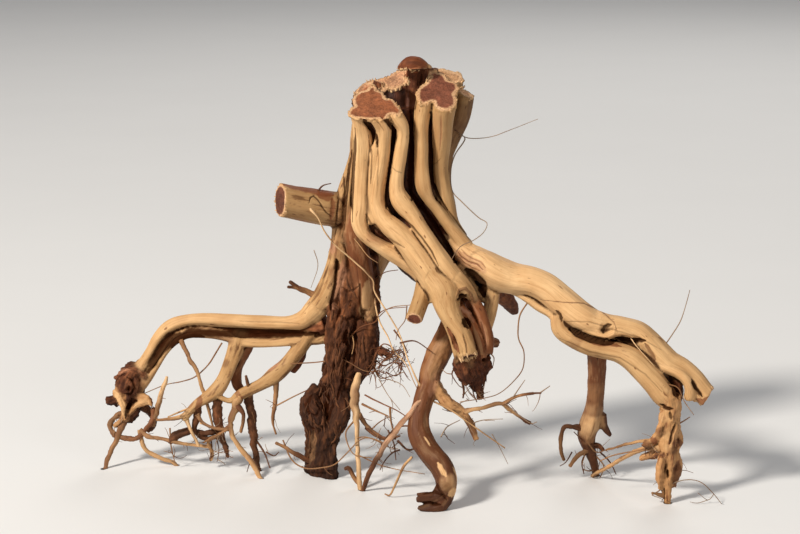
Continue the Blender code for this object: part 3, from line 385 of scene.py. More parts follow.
ROOTLETS = {
    "floor_tip_left": [
        (-274, 96, 48, 6), (-280, 79, 43, 3.5), (-286, 65, 37, 3), (-291, 53, 31, 2.8), (-297, 34, 24, 2.8),
    ],
    "knot_ring": [
        (-272, 100, 52, 3.4), (-284, 94, 52, 3), (-290, 85, 49, 3), (-286, 77, 45, 3.2),
        (-273, 71, 41, 3.4), (-262, 72, 39, 3.2), (-254, 81, 40, 3), (-247.5, 89, 44, 3),
        (-246, 102, 48, 2.6),
    ],
    "knot_ring_back": [(-262, 108, 60, 5), (-250, 98, 62, 4), (-246, 86, 56, 3.6), (-252, 80, 44, 3.4)],
    "knot_runner": [
        (-260, 80, 40, 3), (-252, 74, 36, 2.4), (-238, 71, 32, 2.2), (-222, 67, 29, 2.1), (-205, 65, 27, 2),
        (-190, 63, 26, 2),
    ],
    "knot_prop": [
        (-260, 80, 41, 3), (-257, 66, 40, 2.4), (-251, 58, 39, 2.3), (-240, 52, 38, 2.3),
        (-228, 48, 37, 2.3), (-222, 42, 36, 2.6),
    ],
    "splinter": [
        (-247, 84, 46, 2.5), (-243, 100, 42, 3), (-240, 112, 39, 3), (-236, 124, 38, 2.8),
        (-233, 133, 38, 1.6),
    ],
    "elbow_tie": [
        (-219, 170, 42, 3), (-212, 155, 35, 2.5), (-204, 140, 29, 2.2), (-199, 126, 26, 2.1),
        (-195, 113, 24, 2.4),
    ],
    "left_branch_tip": [(-209, 100, 22, 4.5), (-218, 94, 20, 3), (-230, 91, 17, 2), (-243, 90, 15, 1.6)],
    "left_branch_spike": [(-214, 92, 22, 3), (-209, 80, 19, 2), (-203, 68, 17, 1.8), (-201, 64, 16, 1.6)],
    "cross_twig": [(-203, 96, 22, 3), (-197, 87, 20, 2), (-185, 82, 17, 1.8), (-168, 80, 14, 1.8)],
    "under_left": [
        (-182, 112, 26, 6), (-183, 96, 28, 6), (-180, 82, 28, 5), (-176, 68, 26, 3.2), (-172, 53, 24, 2.2),
    ],
    "under_left_drop": [
        (-203, 104, 24, 5), (-203, 92, 26, 4.5), (-205, 80, 28, 3), (-196, 72, 28, 2.6),
        (-180, 73, 27, 2.6),
    ],
    "under_left_bark": [
        (-180, 80, 28, 3.4), (-196, 77, 29, 3.4), (-212, 78, 31, 4.2), (-226, 73, 31, 5),
        (-230, 68, 31, 3.6),
    ],
    "runner_link": [
        (-168, 86, 14, 2.4), (-182, 75, 20, 2.2), (-192, 68, 25, 2.2), (-188, 58, 27, 2.2),
        (-189, 50, 28, 1.8),
    ],
    "prop_root": [
        (-160, 114, 17, 5.5), (-164, 104, 14, 5.2), (-168, 94, 12, 4), (-169, 84, 10, 3), (-167, 73, 8, 3),
        (-160, 61, 5, 3), (-151, 51, 1, 3), (-144, 41, -3, 2.8), (-138, 28, -8, 2.6),
    ],
    "bark_root": [
        (-153, 122, 20, 4), (-150, 106, 24, 5), (-148, 86, 24, 5), (-146, 66, 22, 4.4), (-143, 50, 20, 3.4),
        (-140, 36, 18, 2.6),
    ],
    "hook_root": [(-163, 104, 14, 4), (-157, 97, 8, 2.6), (-157, 88, 6, 2.2), (-159, 78, 6, 1.9)],
    "stub_twig": [(-150, 114, 19, 3), (-152, 124, 15, 2.2), (-154, 134, 13, 1.6)],
    "hanging_root": [
        (-125, 134, 18, 4.5), (-124, 115, 15, 3), (-126, 100, 15, 2.6), (-127, 87, 15, 1.7),
        (-124, 76, 15, 1.5),
    ],
    "side_root": [(-88, 48, 10, 3.4), (-104, 56, 8, 2.6), (-116, 63, 9, 2), (-124, 67, 10, 1.6)],
    "broken_twig": [(-80, 213, 16, 4.5), (-94, 218, 15, 3.6), (-101, 222, 14, 3), (-110, 228, 13, 2.2)],
    "broken_twig_fork": [(-98, 220, 15, 2.6), (-105, 222, 12, 2), (-112, 223, 10, 1.6)],
    "long_wire": [
        (-90, 302, -20, 2), (-82, 292, -26, 1.3), (-75, 278, -28, 1.2), (-64, 264, -26, 1.2),
        (-46, 249, -20, 1.2), (-28, 231, -16, 1.2), (-25, 217, -18, 1.2), (-8, 190, -30, 1.2),
        (1, 172, -42, 1.2), (8, 150, -54, 1.2), (16, 132, -61, 1.3), (24, 118, -62, 2),
    ],
    "pale_root": [
        (-36, 160, 20, 6), (-37, 150, 9, 3.4), (-39, 139, 1, 2.8), (-44, 126, -5, 4.4), (-46, 110, -10, 5),
        (-44, 96, -14, 4.4), (-43, 84, -19, 3), (-43, 66, -26, 2.7), (-42, 50, -33, 2.8),
        (-41, 36, -39, 2.8), (-39, 14, -47, 2.8),
    ],
    "pale_root_fork": [
        (-42, 96, -14, 3.6), (-36, 88, -12, 3), (-28, 79, -14, 2.8), (-17, 72, -20, 2.4), (-5, 72, -30, 2),
    ],
    "pale_root_toe": [(-41, 26, -42, 2.4), (-46, 32, -38, 2.4), (-51, 42, -36, 2.7), (-55, 41, -36, 1.8)],
    "peeled_root": [
        (27, 112, -64, 4), (17, 106, -72, 2.8), (10, 97, -74, 2.9), (1, 86, -74, 3.1), (-5, 77, -71, 3),
        (-14, 66, -66, 2.8), (-22, 53, -60, 2.8), (-30, 38, -55, 2.7), (-35, 27, -51, 2.6),
        (-38, 14, -48, 2.5),
    ],
    "fork_prop": [
        (62, 98, -58, 3.4), (70, 100, -62, 2.4), (82, 102, -64, 2.1), (96, 106, -66, 2.3),
        (105, 106, -66, 2.2),
    ],
    "fork_prop_up": [
        (103, 106, -66, 2.2), (115, 113, -68, 1.8), (128, 116, -70, 1.7), (141, 117, -72, 1.5),
    ],
    "fork_prop_down": [(103, 106, -66, 2.1), (113, 98, -62, 1.8), (121, 92, -60, 1.8), (130, 87, -58, 2.2)],
    "back_foot_hook": [
        (182, 82, -8, 4.5), (174, 83, -12, 2.8), (165, 83, -14, 2.4), (161, 73, -14, 2.3),
        (161, 60, -12, 2.1), (164, 50, -10, 1.6),
    ],
    "back_foot_left": [(190, 62, -4, 4), (183, 58, -8, 2.8), (176, 52, -10, 2.4), (170, 44, -12, 2)],
    "back_foot_right": [(190, 62, -4, 4), (198, 64, -6, 3.2), (203, 60, -8, 2.4)],
    "spear_root": [
        (262, 62, -82, 5), (252, 63, -76, 3.2), (240, 60, -66, 2.6), (225, 53, -48, 2.4),
        (208, 43, -26, 2.3), (192, 34, -2, 2.2),
    ],
    "spear_twig": [(256, 68, -78, 4), (242, 69, -66, 2), (224, 65, -52, 1.7), (206, 60, -40, 1.5)],
    "foot_twig_left": [(264, 14, -86, 3), (258, 16, -89, 1.9), (252, 17, -92, 1.5)],
}


# Saw cuts and breaks: a point on the cut, the way it faces, and the limbs that end at it
CUTS = {
    "left_face": (
        (-29, 406, -29), (-0.12, -0.42, 0.9),
        (
            "left_edge", "left_broad", "left_rib", "middle_rib", "front_strand", "left_fill",
            "left_fill_right", "left_fill_mid", "left_head", "left_inner",
        ),
    ),
    "right_face": (
        (45, 408, -35), (0.02, -0.56, 0.83),
        ("right_strand", "right_broad", "right_lobe", "right_fill"),
    ),
    "torn_top": ((-9, 432, 12), (-0.25, -0.45, 0.86), ("torn_top", "torn_top_left")),
    "front_arm": ((66, 153, -82), (0.25, -0.35, -0.9), ("front_arm",)),
    "torn_edge": ((-36, 424, 4), (-0.5, -0.3, 0.81), ("torn_edge",)),
    "right_edge": ((66, 417, 8), (0.45, -0.2, 0.87), ("right_edge",)),
    "split_top": ((48, 436, 16), (0.16, -0.45, 0.88), ("split_top", "split_web")),
    "back": (
        (0, 424, 30), (-0.1, 0.12, 0.98),
        ("back_left", "back_middle", "back_right", "back_rib", "back_seam"),
    ),
    "cap": ((14, 440.5, -8), (0.03, -0.1, -0.99), ("cap",)),
    "left_stub": ((-120, 310, -15), (-0.92, -0.36, 0.08), ("left_stub",)),
    "right_arm": ((308, 114, -70), (0.82, -0.1, -0.5), ("right_arm_upper",)),
    "front_stub": ((15, 190, -70), (-0.25, -0.75, -0.62), ("front_stub",)),
}


# What each limb is made of where it isn't peeled wood
SURFACES = {
    # Inner limbs seen through gaps and hollows: dark bark with painted shade
    "dark": (
        "core", "core_left", "left_fill_mid", "core_gap", "left_inner", "left_fill", "right_inner",
        "opening_back", "loop_back",
    ),
    "red": (
        "core_right", "core_crown", "torn_top", "torn_edge", "cap", "cap_stem", "bark_leg_back",
        "left_arm_core", "inner_branch_flap", "back_seam", "back_spur", "torn_top_left",
    ),
    "shaggy": (
        "post", "post_ridge", "post_right", "post_lump_left", "post_lump_fold", "post_lump_right",
        "post_toe_left", "post_toe_right", "post_bulge", "post_strand_left",
    ),
    "rough": (
        "knot", "knot_left", "knot_right", "left_knot", "left_knot_stub", "left_knot_brow",
        "left_knot_fill", "post_burr",
    ),
    "brown": (
        "front_root", "front_foot_tip", "front_foot_toe", "front_foot_sole", "back_leg", "back_leg_side",
        "upper_web", "right_leg_knob", "left_branch_back", "bark_leg", "bark_leg_inner",
    ),
    "gnarl": (
        "left_knot_ridge", "left_knot_lobe", "left_knot_strip", "front_fork", "right_foot",
        "right_foot_left", "right_foot_right", "right_foot_toe", "right_foot_heel",
    ),
}
KINDS = ("wood", "red", "shaggy", "rough", "brown", "gnarl", "dark")

# Limbs of the post whose bark is smoother
CALM = ("post_lump_left", "post_lump_fold", "post_lump_right", "post_bulge")

# Spots where the surface changes: across, up, back, radius, kind and strength
SPOTS = [
    (-57, 285, -4, 16, "brown", 0.5),
    (-176, 172, 26, 9, "brown", 1.2),
    (-188, 175, 30, 9, "brown", 1.2),
    (-200, 175, 32, 9, "brown", 1.2),
    (-212, 173, 36, 9, "brown", 1.2),
    (-224, 167, 38, 8, "brown", 1.0),
    (72, 84, -58, 10, "brown", 1.4),
    (196, 85, -16, 10, "wood", 1.4),
    (192, 72, -12, 8, "gnarl", 1.0),
    (49, 26, -108, 9, "wood", 1.0),
    (-176, 146, 20, 5, "brown", 0.9),
    (-30, 208, 2, 8, "wood", 1.6),
    (-30, 196, 2, 7, "wood", 1.4),
    (-38, 222, 2, 8, "brown", 1.2),
    (-262, 124, 42, 7, "brown", 1.0),
    (-284, 118, 42, 4, "gnarl", 1.2),
    (266, 92, -88, 6, "wood", 1.2),
    (266, 74, -92, 6, "wood", 1.2),
    (269, 62, -92, 5, "wood", 1.0),
    (-58, 262, -4, 16, "brown", 0.6),
    (-60, 300, -4, 14, "red", 0.6),
    (-63, 238, 0, 9, "red", 0.9),
    (-22, 275, -34, 12, "red", 1.0),
    (55, 375, -2, 14, "brown", 0.9),
    (56, 395, 2, 15, "brown", 0.8),
    (50, 350, 0, 12, "brown", 0.6),
    (-80, 318, 6, 12, "red", 0.9),
    (-62, 320, 10, 12, "red", 0.9),
    (-104, 321, -2, 9, "red", 0.8),
    (188, 84, -14, 13, "wood", 1.2),
    (194, 100, -16, 10, "wood", 0.6),
    (198, 118, -22, 14, "gnarl", 0.35),
    (38, 158, -50, 14, "gnarl", 0.5),
    (30, 140, -60, 12, "gnarl", 0.35),
    (72, 142, -80, 13, "rough", 3.0),
    (60, 146, -82, 9, "rough", 1.6),
    (-62, 292, 0, 14, "gnarl", 0.9),
    (-64, 268, 4, 12, "gnarl", 0.9),
    (246, 62, -78, 9, "rough", 1.2),
    (-280, 112, 40, 5, "gnarl", 1.4),
    (-276, 98, 38, 5, "gnarl", 1.4),
    (-256, 110, 36, 6, "gnarl", 1.0),
    (176, 169, -58, 9, "red", 0.8),
    (216, 168, -56, 9, "red", 1.0),
    (184, 176, -46, 9, "red", 1.0),
    (279, 122, -66, 7, "red", 1.2),
    (272, 60, -86, 5, "rough", 0.9),
    (262, 78, -86, 5, "rough", 0.8),
    (275, 42, -84, 5, "rough", 0.8),
]

# Linear colours of each kind of surface, and of the grooves: dark bark in them with painted shade
TINTS = {
    # The inner limbs' near black: dark bark with painted shade
    "dark": (0.045, 0.013, 0.005),
    "wood": (0.70, 0.455, 0.232),
    "red": (0.16, 0.046, 0.015),
    "shaggy": (0.10, 0.033, 0.0105),
    "rough": (0.125, 0.036, 0.012),
    "brown": (0.185, 0.062, 0.019),
    "gnarl": (0.55, 0.31, 0.14),
}
# The colour of the patches on each kind, and how much of it they cover
PATCHES = {
    "red": ((0.34, 0.13, 0.055), 0.5), "shaggy": ((0.20, 0.075, 0.028), 0.5),
    "rough": ((0.27, 0.10, 0.042), 0.5), "brown": ((0.30, 0.145, 0.065), 0.45),
    "gnarl": ((0.20, 0.075, 0.03), 0.40), "dark": ((0.10, 0.03, 0.012), 0.4),
}
# The grooves' dark bark, with painted shade
GROOVE_BARK_AND_SHADE = (0.032, 0.009, 0.0035)
RIM_TINT = (0.66, 0.40, 0.215)
SCRAP_TINT = (0.20, 0.085, 0.034)
STROKE_TINTS = {
    "pale": (0.72, 0.45, 0.22), "pink": (0.46, 0.22, 0.125), "tan": (0.40, 0.22, 0.10),
    "red": (0.19, 0.055, 0.018), "brown": (0.16, 0.06, 0.022),
}

# Colour in the middle of each cut, width of its pale rim and reach of its torn lip in millimetres; the
# middles of the cap's downward face and of the left and front stubs' ends are darkened with painted shade
CUT_LOOKS = {
    "left_face": ((0.29, 0.098, 0.038), 2.4, 2.2), "right_face": ((0.215, 0.072, 0.038), 2.6, 1.6),
    "torn_top": ((0.52, 0.28, 0.155), 3.0, 2.4), "torn_edge": ((0.42, 0.20, 0.10), 3.0, 1.6),
    "right_edge": ((0.45, 0.22, 0.10), 4.0, 2.0), "split_top": ((0.46, 0.25, 0.12), 3.5, 2.0),
    "back": ((0.28, 0.10, 0.045), 2.6, 1.6), "cap": ((0.05, 0.014, 0.006), 0.1, 0.0),
    "left_stub": ((0.13, 0.042, 0.02), 2.0, 0.5), "right_arm": ((0.60, 0.36, 0.17), 4.0, 0.4),
    "front_arm": ((0.07, 0.022, 0.009), 1.0, 0.9), "front_stub": ((0.16, 0.05, 0.025), 1.6, 0.2),
}

# Breaks with longer fibres, and cuts with none
TORN_CUTS = ("torn_top", "torn_edge", "split_top", "right_edge", "front_arm")
CLEAN_CUTS = ("cap", "front_stub")

# Limbs that are a little darker or lighter than their kind: partly each limb's own tone, partly painted shade
# on limbs that lie in shade, such as the right-hand strands, the stubs and the cap's stem
TONES = {
    "left_edge": 0.76, "left_edge_inner": 0.7, "left_rib": 0.92, "right_edge": 0.5, "right_lobe": 0.62,
    "right_broad": 0.68, "right_strand": 0.84, "split_top": 0.8, "torn_top": 1.3, "front_strand": 0.92,
    "back_left": 0.82, "back_middle": 0.85, "back_right": 0.75, "back_rib": 0.7, "left_branch": 0.72,
    "inner_branch": 0.66, "right_leg": 0.8, "bark_leg": 1.25, "bark_leg_inner": 1.7, "front_root": 1.2,
    "upper_web": 1.2, "right_foot": 0.9, "right_arm_lower": 0.85, "right_arm_back": 0.7, "front_stub": 0.62,
    "front_arm": 0.76, "front_arm_rib": 0.66, "hole_rim": 0.85, "left_stub": 0.66, "left_branch_back": 1.6,
    "left_arm_top": 0.92, "left_arm_rim": 0.85, "back_leg": 1.25, "front_arm_torn": 0.7,
    "front_foot_toe": 0.75, "front_foot_sole": 0.75, "back_spur": 0.8, "middle_rib": 0.96,
    "right_arm_upper": 0.92, "left_knot_strip": 0.8, "left_knot_ridge": 0.9, "left_knot_lobe": 0.95,
    "left_knot_brow": 1.5, "right_arm": 1.12, "core_crown": 0.55, "cap_stem": 0.6, "opening_strand": 0.6,
    "core_right": 0.7,
}

# How much of a peeled limb still carries scraps of bark
SCRAPS = {
    "left_branch": 0.35, "inner_branch": 0.4, "left_branch_back": 0.5, "left_knot_strip": 0.5,
    "right_arm_feeder": 0.4, "left_edge": 0.55, "left_edge_inner": 0.45, "right_edge": 0.5,
    "right_leg": 0.3, "left_arm_rim": 0.35, "left_stub": 0.25, "right_arm_lower": 0.2, "back_left": 0.3,
    "back_middle": 0.25, "back_right": 0.35, "back_rib": 0.5, "opening_strand": 0.6, "front_stub": 0.25,
}

# Noise along the grain: width and length of its features in millimetres, layers and seed
GRAIN_NOISE = {
    "long_groove": (5.5, 70, 2, 11),
    "fibre": (2.2, 34, 2, 21),
    "bark": (6, 19, 3, 31),
    "knotty": (6, 15, 3, 35),
    "patchy": (5, 17, 3, 37),
    "flecks": (2.4, 24, 3, 39),
}
# Noise that is alike in every direction: size of its features in millimetres, layers and seed
ROUND_NOISE = {"lumps": (6.5, 3, 41), "swell": (22, 1, 51), "pits": (3.0, 2, 61)}

# Marks and grooves as they show from the front: picture points, half width in millimetres, depth, tint,
# strength, and the depths between which they lie
# A groove stroke paints the grooves' dark bark with painted shade
STROKES = [
    # Grooves in the broad left strand and between its ribs
    ([(361, 118), (367, 124), (372, 130), (376, 138), (377.5, 147)], 1.7, 2.6, "groove", 1.0, (-80, 0)),
    ([(382, 117), (388, 122), (394, 130), (394, 138), (392.5, 146)], 2.4, 2.2, "groove", 1.0, (-80, 0)),
    (
        [(392.5, 146), (391, 160), (389, 172), (387, 184), (386, 198), (387, 208)],
        1.6, 2.0, "groove", 1.0, (-80, 0),
    ),
    ([(373, 118), (379, 124), (384, 131)], 0.6, 0.7, "groove", 0.45, (-80, 0)),
    ([(369, 140), (371.5, 155), (371.5, 170), (371, 184)], 0.9, 1.2, "groove", 0.6, (-80, 0)),
    ([(377.5, 147), (378.5, 158), (378, 172), (377.5, 186)], 0.8, 0.7, "groove", 0.4, (-80, 0)),
    (
        [(355.5, 128), (355.5, 150), (353.5, 175), (352, 200), (352, 222)],
        1.1, 1.4, "groove", 0.9, (-60, 20),
    ),
    ([(352, 150), (349, 165), (347.5, 185), (345.5, 205), (344, 230)], 1.2, 1.4, "groove", 0.9, (-60, 20)),
    ([(344, 260), (342, 274), (338, 290), (333, 308)], 3.6, 0.0, "pink", 0.75, (-60, 30)),
    ([(336, 260), (336, 272), (335.5, 284), (333, 296), (330, 310)], 1.7, 2.6, "groove", 1.0, (-60, 30)),
    ([(329, 262), (322, 282), (312, 300), (303, 312)], 0.8, 0.8, "groove", 0.4, (-60, 30)),
    ([(352, 268), (352, 282), (350, 292)], 5.0, 0.0, "brown", 0.8, (-60, 30)),
    ([(366, 284), (367, 300), (368, 318)], 5.0, -0.6, "tan", 0.9, (-60, 30)),
    ([(360, 284), (360, 302), (364, 322)], 1.3, 1.6, "groove", 0.8, (-60, 30)),
    ([(340, 316), (347, 320), (353, 316), (358, 320)], 1.3, 1.6, "groove", 0.7, (-60, 30)),
    ([(342, 287), (348, 292), (354, 290), (359, 286)], 1.0, 1.2, "groove", 0.5, (-60, 30)),
    ([(346, 330), (346, 338), (345, 345)], 2.4, 3.0, "groove", 1.0, (-60, 30)),
    ([(337, 345), (335, 360), (332, 380)], 1.4, 1.6, "groove", 0.7, (-60, 40)),
    ([(352, 350), (346, 366), (342, 384), (336, 402)], 1.6, 2.0, "groove", 0.8, (-60, 40)),
    # A tan strip low on the post: painted light on a lit strand
    ([(313, 432), (312, 448), (309, 464)], 3.6, 0.0, "tan", 0.3, (-60, 60)),
    ([(316, 402), (320, 408), (316, 416), (309, 412)], 1.2, 1.2, "groove", 0.7, (-60, 60)),
    # The dark gap down the middle and the cracks beside it
    ([(411, 112), (412, 150), (410, 180), (412, 200)], 2.6, 0.5, "groove", 1.0, (-50, 0)),
    ([(409, 92), (413, 100), (411, 112)], 3.5, 0.8, "groove", 0.9, (-50, 10)),
    (
        [(410, 190), (418, 202), (426, 212), (434, 224), (443, 238), (450, 250), (455, 262)],
        2.6, 2.6, "groove", 1.0, (-80, 0),
    ),
    (
        [(387, 208), (392, 214), (402, 218), (412, 226), (422, 238), (432, 252), (439, 266)],
        0.9, 1.1, "groove", 0.8, (-80, 0),
    ),
    ([(389, 228), (402, 236), (414, 248), (424, 262)], 0.7, 0.5, "tan", 0.35, (-80, 0)),
    ([(366, 214), (371, 224), (380, 233), (392, 241), (404, 248)], 1.0, 1.2, "groove", 0.6, (-80, 0)),
    (
        [(431, 112), (431, 140), (430.5, 165), (432, 182), (438, 196), (448, 210)],
        1.5, 2.2, "groove", 1.0, (-60, 10),
    ),
    ([(448, 210), (456, 220), (464, 232), (474, 244)], 0.9, 1.0, "groove", 0.7, (-60, 10)),
    ([(392, 167), (396, 171), (402, 173)], 0.5, 0.3, "groove", 0.5, (-60, 10)),
    ([(431, 165), (436, 163), (441, 158)], 0.5, 0.3, "groove", 0.45, (-60, 10)),
    # The front arm's splits and its broken end
    ([(447, 328), (452, 338), (457, 352)], 1.8, 1.8, "red", 0.9, (-120, -40)),
    ([(452, 334), (456, 344), (459, 354)], 1.0, 1.6, "groove", 0.8, (-120, -40)),
    ([(463, 334), (466, 345), (467, 356)], 0.9, 1.2, "groove", 0.7, (-120, -40)),
    ([(456, 296), (459, 290), (465, 288), (470, 293), (474, 302)], 1.6, -1.2, "brown", 0.7, (-120, -20)),
    ([(462, 296), (463.5, 299)], 5.0, 4.5, "groove", 1.0, (-120, -20)),
    ([(464, 319), (467, 322), (469, 327)], 3.6, 3.6, "groove", 1.0, (-120, -20)),
    ([(459, 306), (463, 311), (471, 313)], 2.0, -0.8, "pink", 0.7, (-120, -20)),
    ([(466, 308), (470, 314), (474, 322)], 2.0, 0.0, "pink", 0.6, (-120, -20)),
    ([(470, 302), (478, 314), (484, 330), (487, 344)], 1.3, -0.4, "pink", 0.5, (-120, -20)),
    ([(474, 328), (479, 342), (482, 354)], 2.0, -0.3, "tan", 0.7, (-120, -20)),
    ([(481, 322), (485, 338), (486, 350)], 0.9, 1.0, "groove", 0.6, (-120, -20)),
    ([(472, 330), (475, 342), (477, 352)], 0.9, 1.0, "groove", 0.6, (-120, -20)),
    # The front foot's ragged toes
    ([(420, 504), (430, 503), (441, 505)], 1.2, 2.0, "groove", 0.9, (-140, -60)),
    ([(424, 494), (434, 491), (445, 496)], 1.4, 1.6, "groove", 0.7, (-140, -60)),
    ([(436, 482), (440, 490), (447, 500)], 1.4, 1.6, "groove", 0.6, (-140, -60)),
    # The folded scar and the lines round it
    ([(458, 252), (462, 258), (469, 263), (478, 266), (484, 271)], 6.0, 0.0, "pink", 0.45, (-80, 0)),
    ([(457, 251), (461, 257), (468, 262), (477, 264.5), (483, 270)], 0.8, 1.2, "red", 0.75, (-80, 0)),
    ([(461, 249), (466, 255), (473, 259), (481, 262), (486, 268)], 0.7, 0.9, "red", 0.5, (-80, 0)),
    ([(459, 257), (464, 263), (472, 268), (480, 271)], 0.7, 0.9, "red", 0.6, (-80, 0)),
    ([(465, 247), (472, 251), (480, 255), (487, 260)], 0.6, 0.5, "tan", 0.5, (-80, 0)),
    # Pocket under the scar
    ([(466, 270), (474, 276), (482, 284), (484, 296)], 4.0, 3.0, "groove", 1.0, (-90, 0)),
    # Right arm: the crack under its top and the dark pockets
    (
        [(540, 300), (560, 302), (584, 303.6), (602, 311), (614, 322), (618, 333)],
        0.6, 0.4, "brown", 0.7, (-90, -20),
    ),
    ([(570, 329), (578, 334), (590, 339), (604, 342), (616, 341)], 2.9, 4.0, "groove", 1.0, (-90, -20)),
    ([(603.5, 332), (605, 328), (608, 325.5), (611, 325)], 2.1, 2.4, "groove", 0.9, (-90, -20)),
    ([(601, 336), (608, 337), (614, 334), (615, 327)], 1.3, -0.9, "pale", 0.6, (-90, -20)),
    ([(556, 311), (560, 315), (562, 321)], 1.5, 1.8, "groove", 0.9, (-90, -20)),
    ([(692, 379), (696, 388), (702, 397)], 1.7, 2.6, "groove", 1.0, (-100, -20)),
    ([(697, 399), (703, 402), (709, 397)], 2.4, 0.0, "red", 0.8, (-100, -20)),
    # Brown below the second pocket: painted shade
    ([(645, 344), (649, 350), (655, 360)], 2.0, 1.0, "brown", 0.7, (-90, -20)),
    ([(616, 338), (624, 339), (632, 342), (639, 341), (645, 341)], 2.5, 3.4, "groove", 1.0, (-90, -20)),
    ([(590, 342), (600, 344), (610, 344), (621, 346)], 2.0, 0.0, "red", 0.8, (-90, -20)),
    ([(669, 376), (675, 386), (679, 398)], 3.0, 2.4, "groove", 0.9, (-100, -20)),
    ([(560, 322), (590, 322), (615, 330), (640, 338), (662, 350)], 0.7, 0.5, "groove", 0.4, (-90, -20)),
    ([(560, 338), (590, 352), (620, 358), (645, 374), (662, 392)], 0.8, 0.6, "groove", 0.45, (-120, -30)),
    # Left arm's long bark groove
    (
        [
            (318, 334), (290, 333.5), (262, 334), (236, 333.5), (212, 333), (190, 331), (176, 339),
            (163, 352), (152, 368),
        ],
        4.0, 3.0, "groove", 1.0, (-20, 80),
    ),
    ([(204, 338), (192, 337), (180, 341), (172, 348)], 4.0, 1.0, "groove", 1.0, (-20, 80)),
    ([(180, 333), (170, 338), (160, 350), (154, 361), (148, 372)], 4.6, 1.6, "groove", 1.0, (-20, 80)),
    ([(190, 343), (178, 352), (168, 366), (158, 380)], 3.6, 0.0, "tan", 0.45, (-20, 80)),
    ([(200, 396), (199, 404), (197, 413)], 3.0, 0.3, "red", 0.75, (0, 60)),
    ([(184, 412), (190, 406), (193, 400)], 1.4, 0.4, "red", 0.5, (0, 60)),
    ([(252, 376), (246, 384), (238, 388)], 1.6, 0.4, "red", 0.5, (0, 60)),
    ([(236, 390), (240, 398), (243, 406)], 2.4, 0.4, "red", 0.6, (0, 60)),
    ([(282, 355), (276, 364), (268, 371)], 2.0, 0.3, "pink", 0.6, (0, 60)),
    ([(436, 112), (437, 126), (439, 142)], 5.5, 0.0, "tan", 0.5, (-60, 10)),
    ([(441, 116), (441, 134), (440, 150)], 0.8, 0.5, "red", 0.5, (-60, 10)),
    ([(300, 324), (280, 322), (262, 322), (240, 321)], 0.7, 0.5, "groove", 0.35, (-20, 80)),
    # Left stub: the scar and the bark on its top
    (
        [(309, 203), (311, 197), (314, 195.5), (318, 199), (322, 206), (326, 212), (332, 217)],
        0.8, 0.9, "groove", 0.8, (-60, 20),
    ),
    ([(277, 212), (285, 213)], 4.4, 0.0, "pale", 0.8, (-60, 20)),
    ([(318, 194), (332, 199)], 3.2, 0.0, "red", 0.8, (-60, 30)),
    # Red along the stub's underside: painted shade
    ([(296, 220), (312, 226), (328, 231)], 2.4, 0.0, "red", 0.6, (-60, 30)),
    ([(333, 198), (333, 208), (331, 220)], 2.2, 0.6, "red", 0.7, (-60, 30)),
    ([(336, 182), (339, 200), (337, 220), (334, 240)], 0.9, 1.2, "groove", 0.7, (-60, 30)),
    ([(343, 172), (345, 190), (343, 215), (342, 238)], 1.0, 1.4, "groove", 0.8, (-60, 30)),
    ([(336, 260), (337, 266), (336.5, 272)], 2.8, 3.0, "groove", 1.0, (-60, 30)),
    ([(329, 240), (333, 246), (332, 254)], 3.0, 0.4, "pink", 0.6, (-60, 30)),
    ([(284, 184), (300, 186), (316, 190), (332, 195)], 4.4, -0.6, "red", 0.9, (-60, 30)),
    # Front root: pale scrapes
    ([(438, 463), (442, 470), (446, 476)], 2.3, 0.4, "pale", 1.0, (-140, -60)),
    ([(453, 467), (457, 476), (458, 486)], 1.0, 0.2, "pale", 0.9, (-140, -60)),
    ([(449, 495), (453, 493), (457, 490)], 3.6, 0.4, "pale", 0.95, (-140, -60)),
    ([(424, 437), (427, 441), (430, 446)], 0.8, 0.2, "pale", 0.9, (-140, -60)),
    ([(436, 372), (434, 384), (430, 396)], 4.0, 0.0, "pink", 0.4, (-140, -30)),
    # Tan down the root's upper left: tan bark with a painted highlight
    ([(447, 337), (439, 349), (434, 364), (432, 378)], 6.0, 0.0, "tan", 0.55, (-140, -20)),
    # Post: a peeled strip down its right side
    ([(368, 282), (366, 300), (362, 318)], 4.5, 0.4, "pale", 0.55, (-40, 40)),
    ([(312, 395), (306, 405), (310, 416)], 2.0, 1.2, "groove", 0.8, (-40, 40)),
    ([(325, 385), (327, 400), (326, 420)], 2.2, 2.2, "groove", 1.0, (-60, 40)),
    # Left knot: pale torn strips
    ([(114, 391), (119, 399), (123, 408), (126, 417)], 2.8, -0.4, "pale", 0.75, (0, 80)),
    ([(127, 377), (133, 381), (135, 388), (131, 395), (125, 394)], 1.2, 1.6, "groove", 0.8, (0, 80)),
    ([(129, 386), (129, 391)], 2.0, 2.4, "groove", 0.9, (0, 80)),
    ([(132, 399), (128, 408), (126, 418)], 2.2, 2.4, "groove", 0.9, (0, 80)),
    ([(134, 408), (140, 402), (146, 402), (149, 407)], 3.2, -0.4, "pale", 0.75, (0, 80)),
    ([(118, 374), (123, 371), (130, 370)], 1.8, -0.4, "pink", 0.6, (0, 80)),
    # Right foot: the eye under the arm's end, cracks, hollows and brown patches
    ([(660, 405), (666, 408.5), (673, 409)], 1.7, 3.0, "groove", 1.0, (-120, -30)),
    ([(670, 412), (671, 419)], 1.5, 1.8, "groove", 0.9, (-120, -30)),
    ([(676, 423), (673, 432), (670, 444)], 1.2, 1.8, "groove", 0.9, (-120, -30)),
    ([(662, 455), (664, 456)], 3.4, 1.4, "brown", 0.95, (-120, -30)),
    ([(667, 470), (668, 478)], 1.5, 2.4, "groove", 1.0, (-120, -30)),
    ([(678, 462), (678, 476), (676, 488)], 4.0, 0.4, "brown", 0.9, (-120, -30)),
    ([(652, 438), (656, 444)], 3.4, 0.0, "red", 0.8, (-120, -30)),
    ([(678, 440), (682, 446)], 3.0, 0.0, "brown", 0.9, (-120, -30)),
    ([(664, 488), (664, 500)], 0.9, 1.6, "groove", 0.8, (-120, -30)),
]

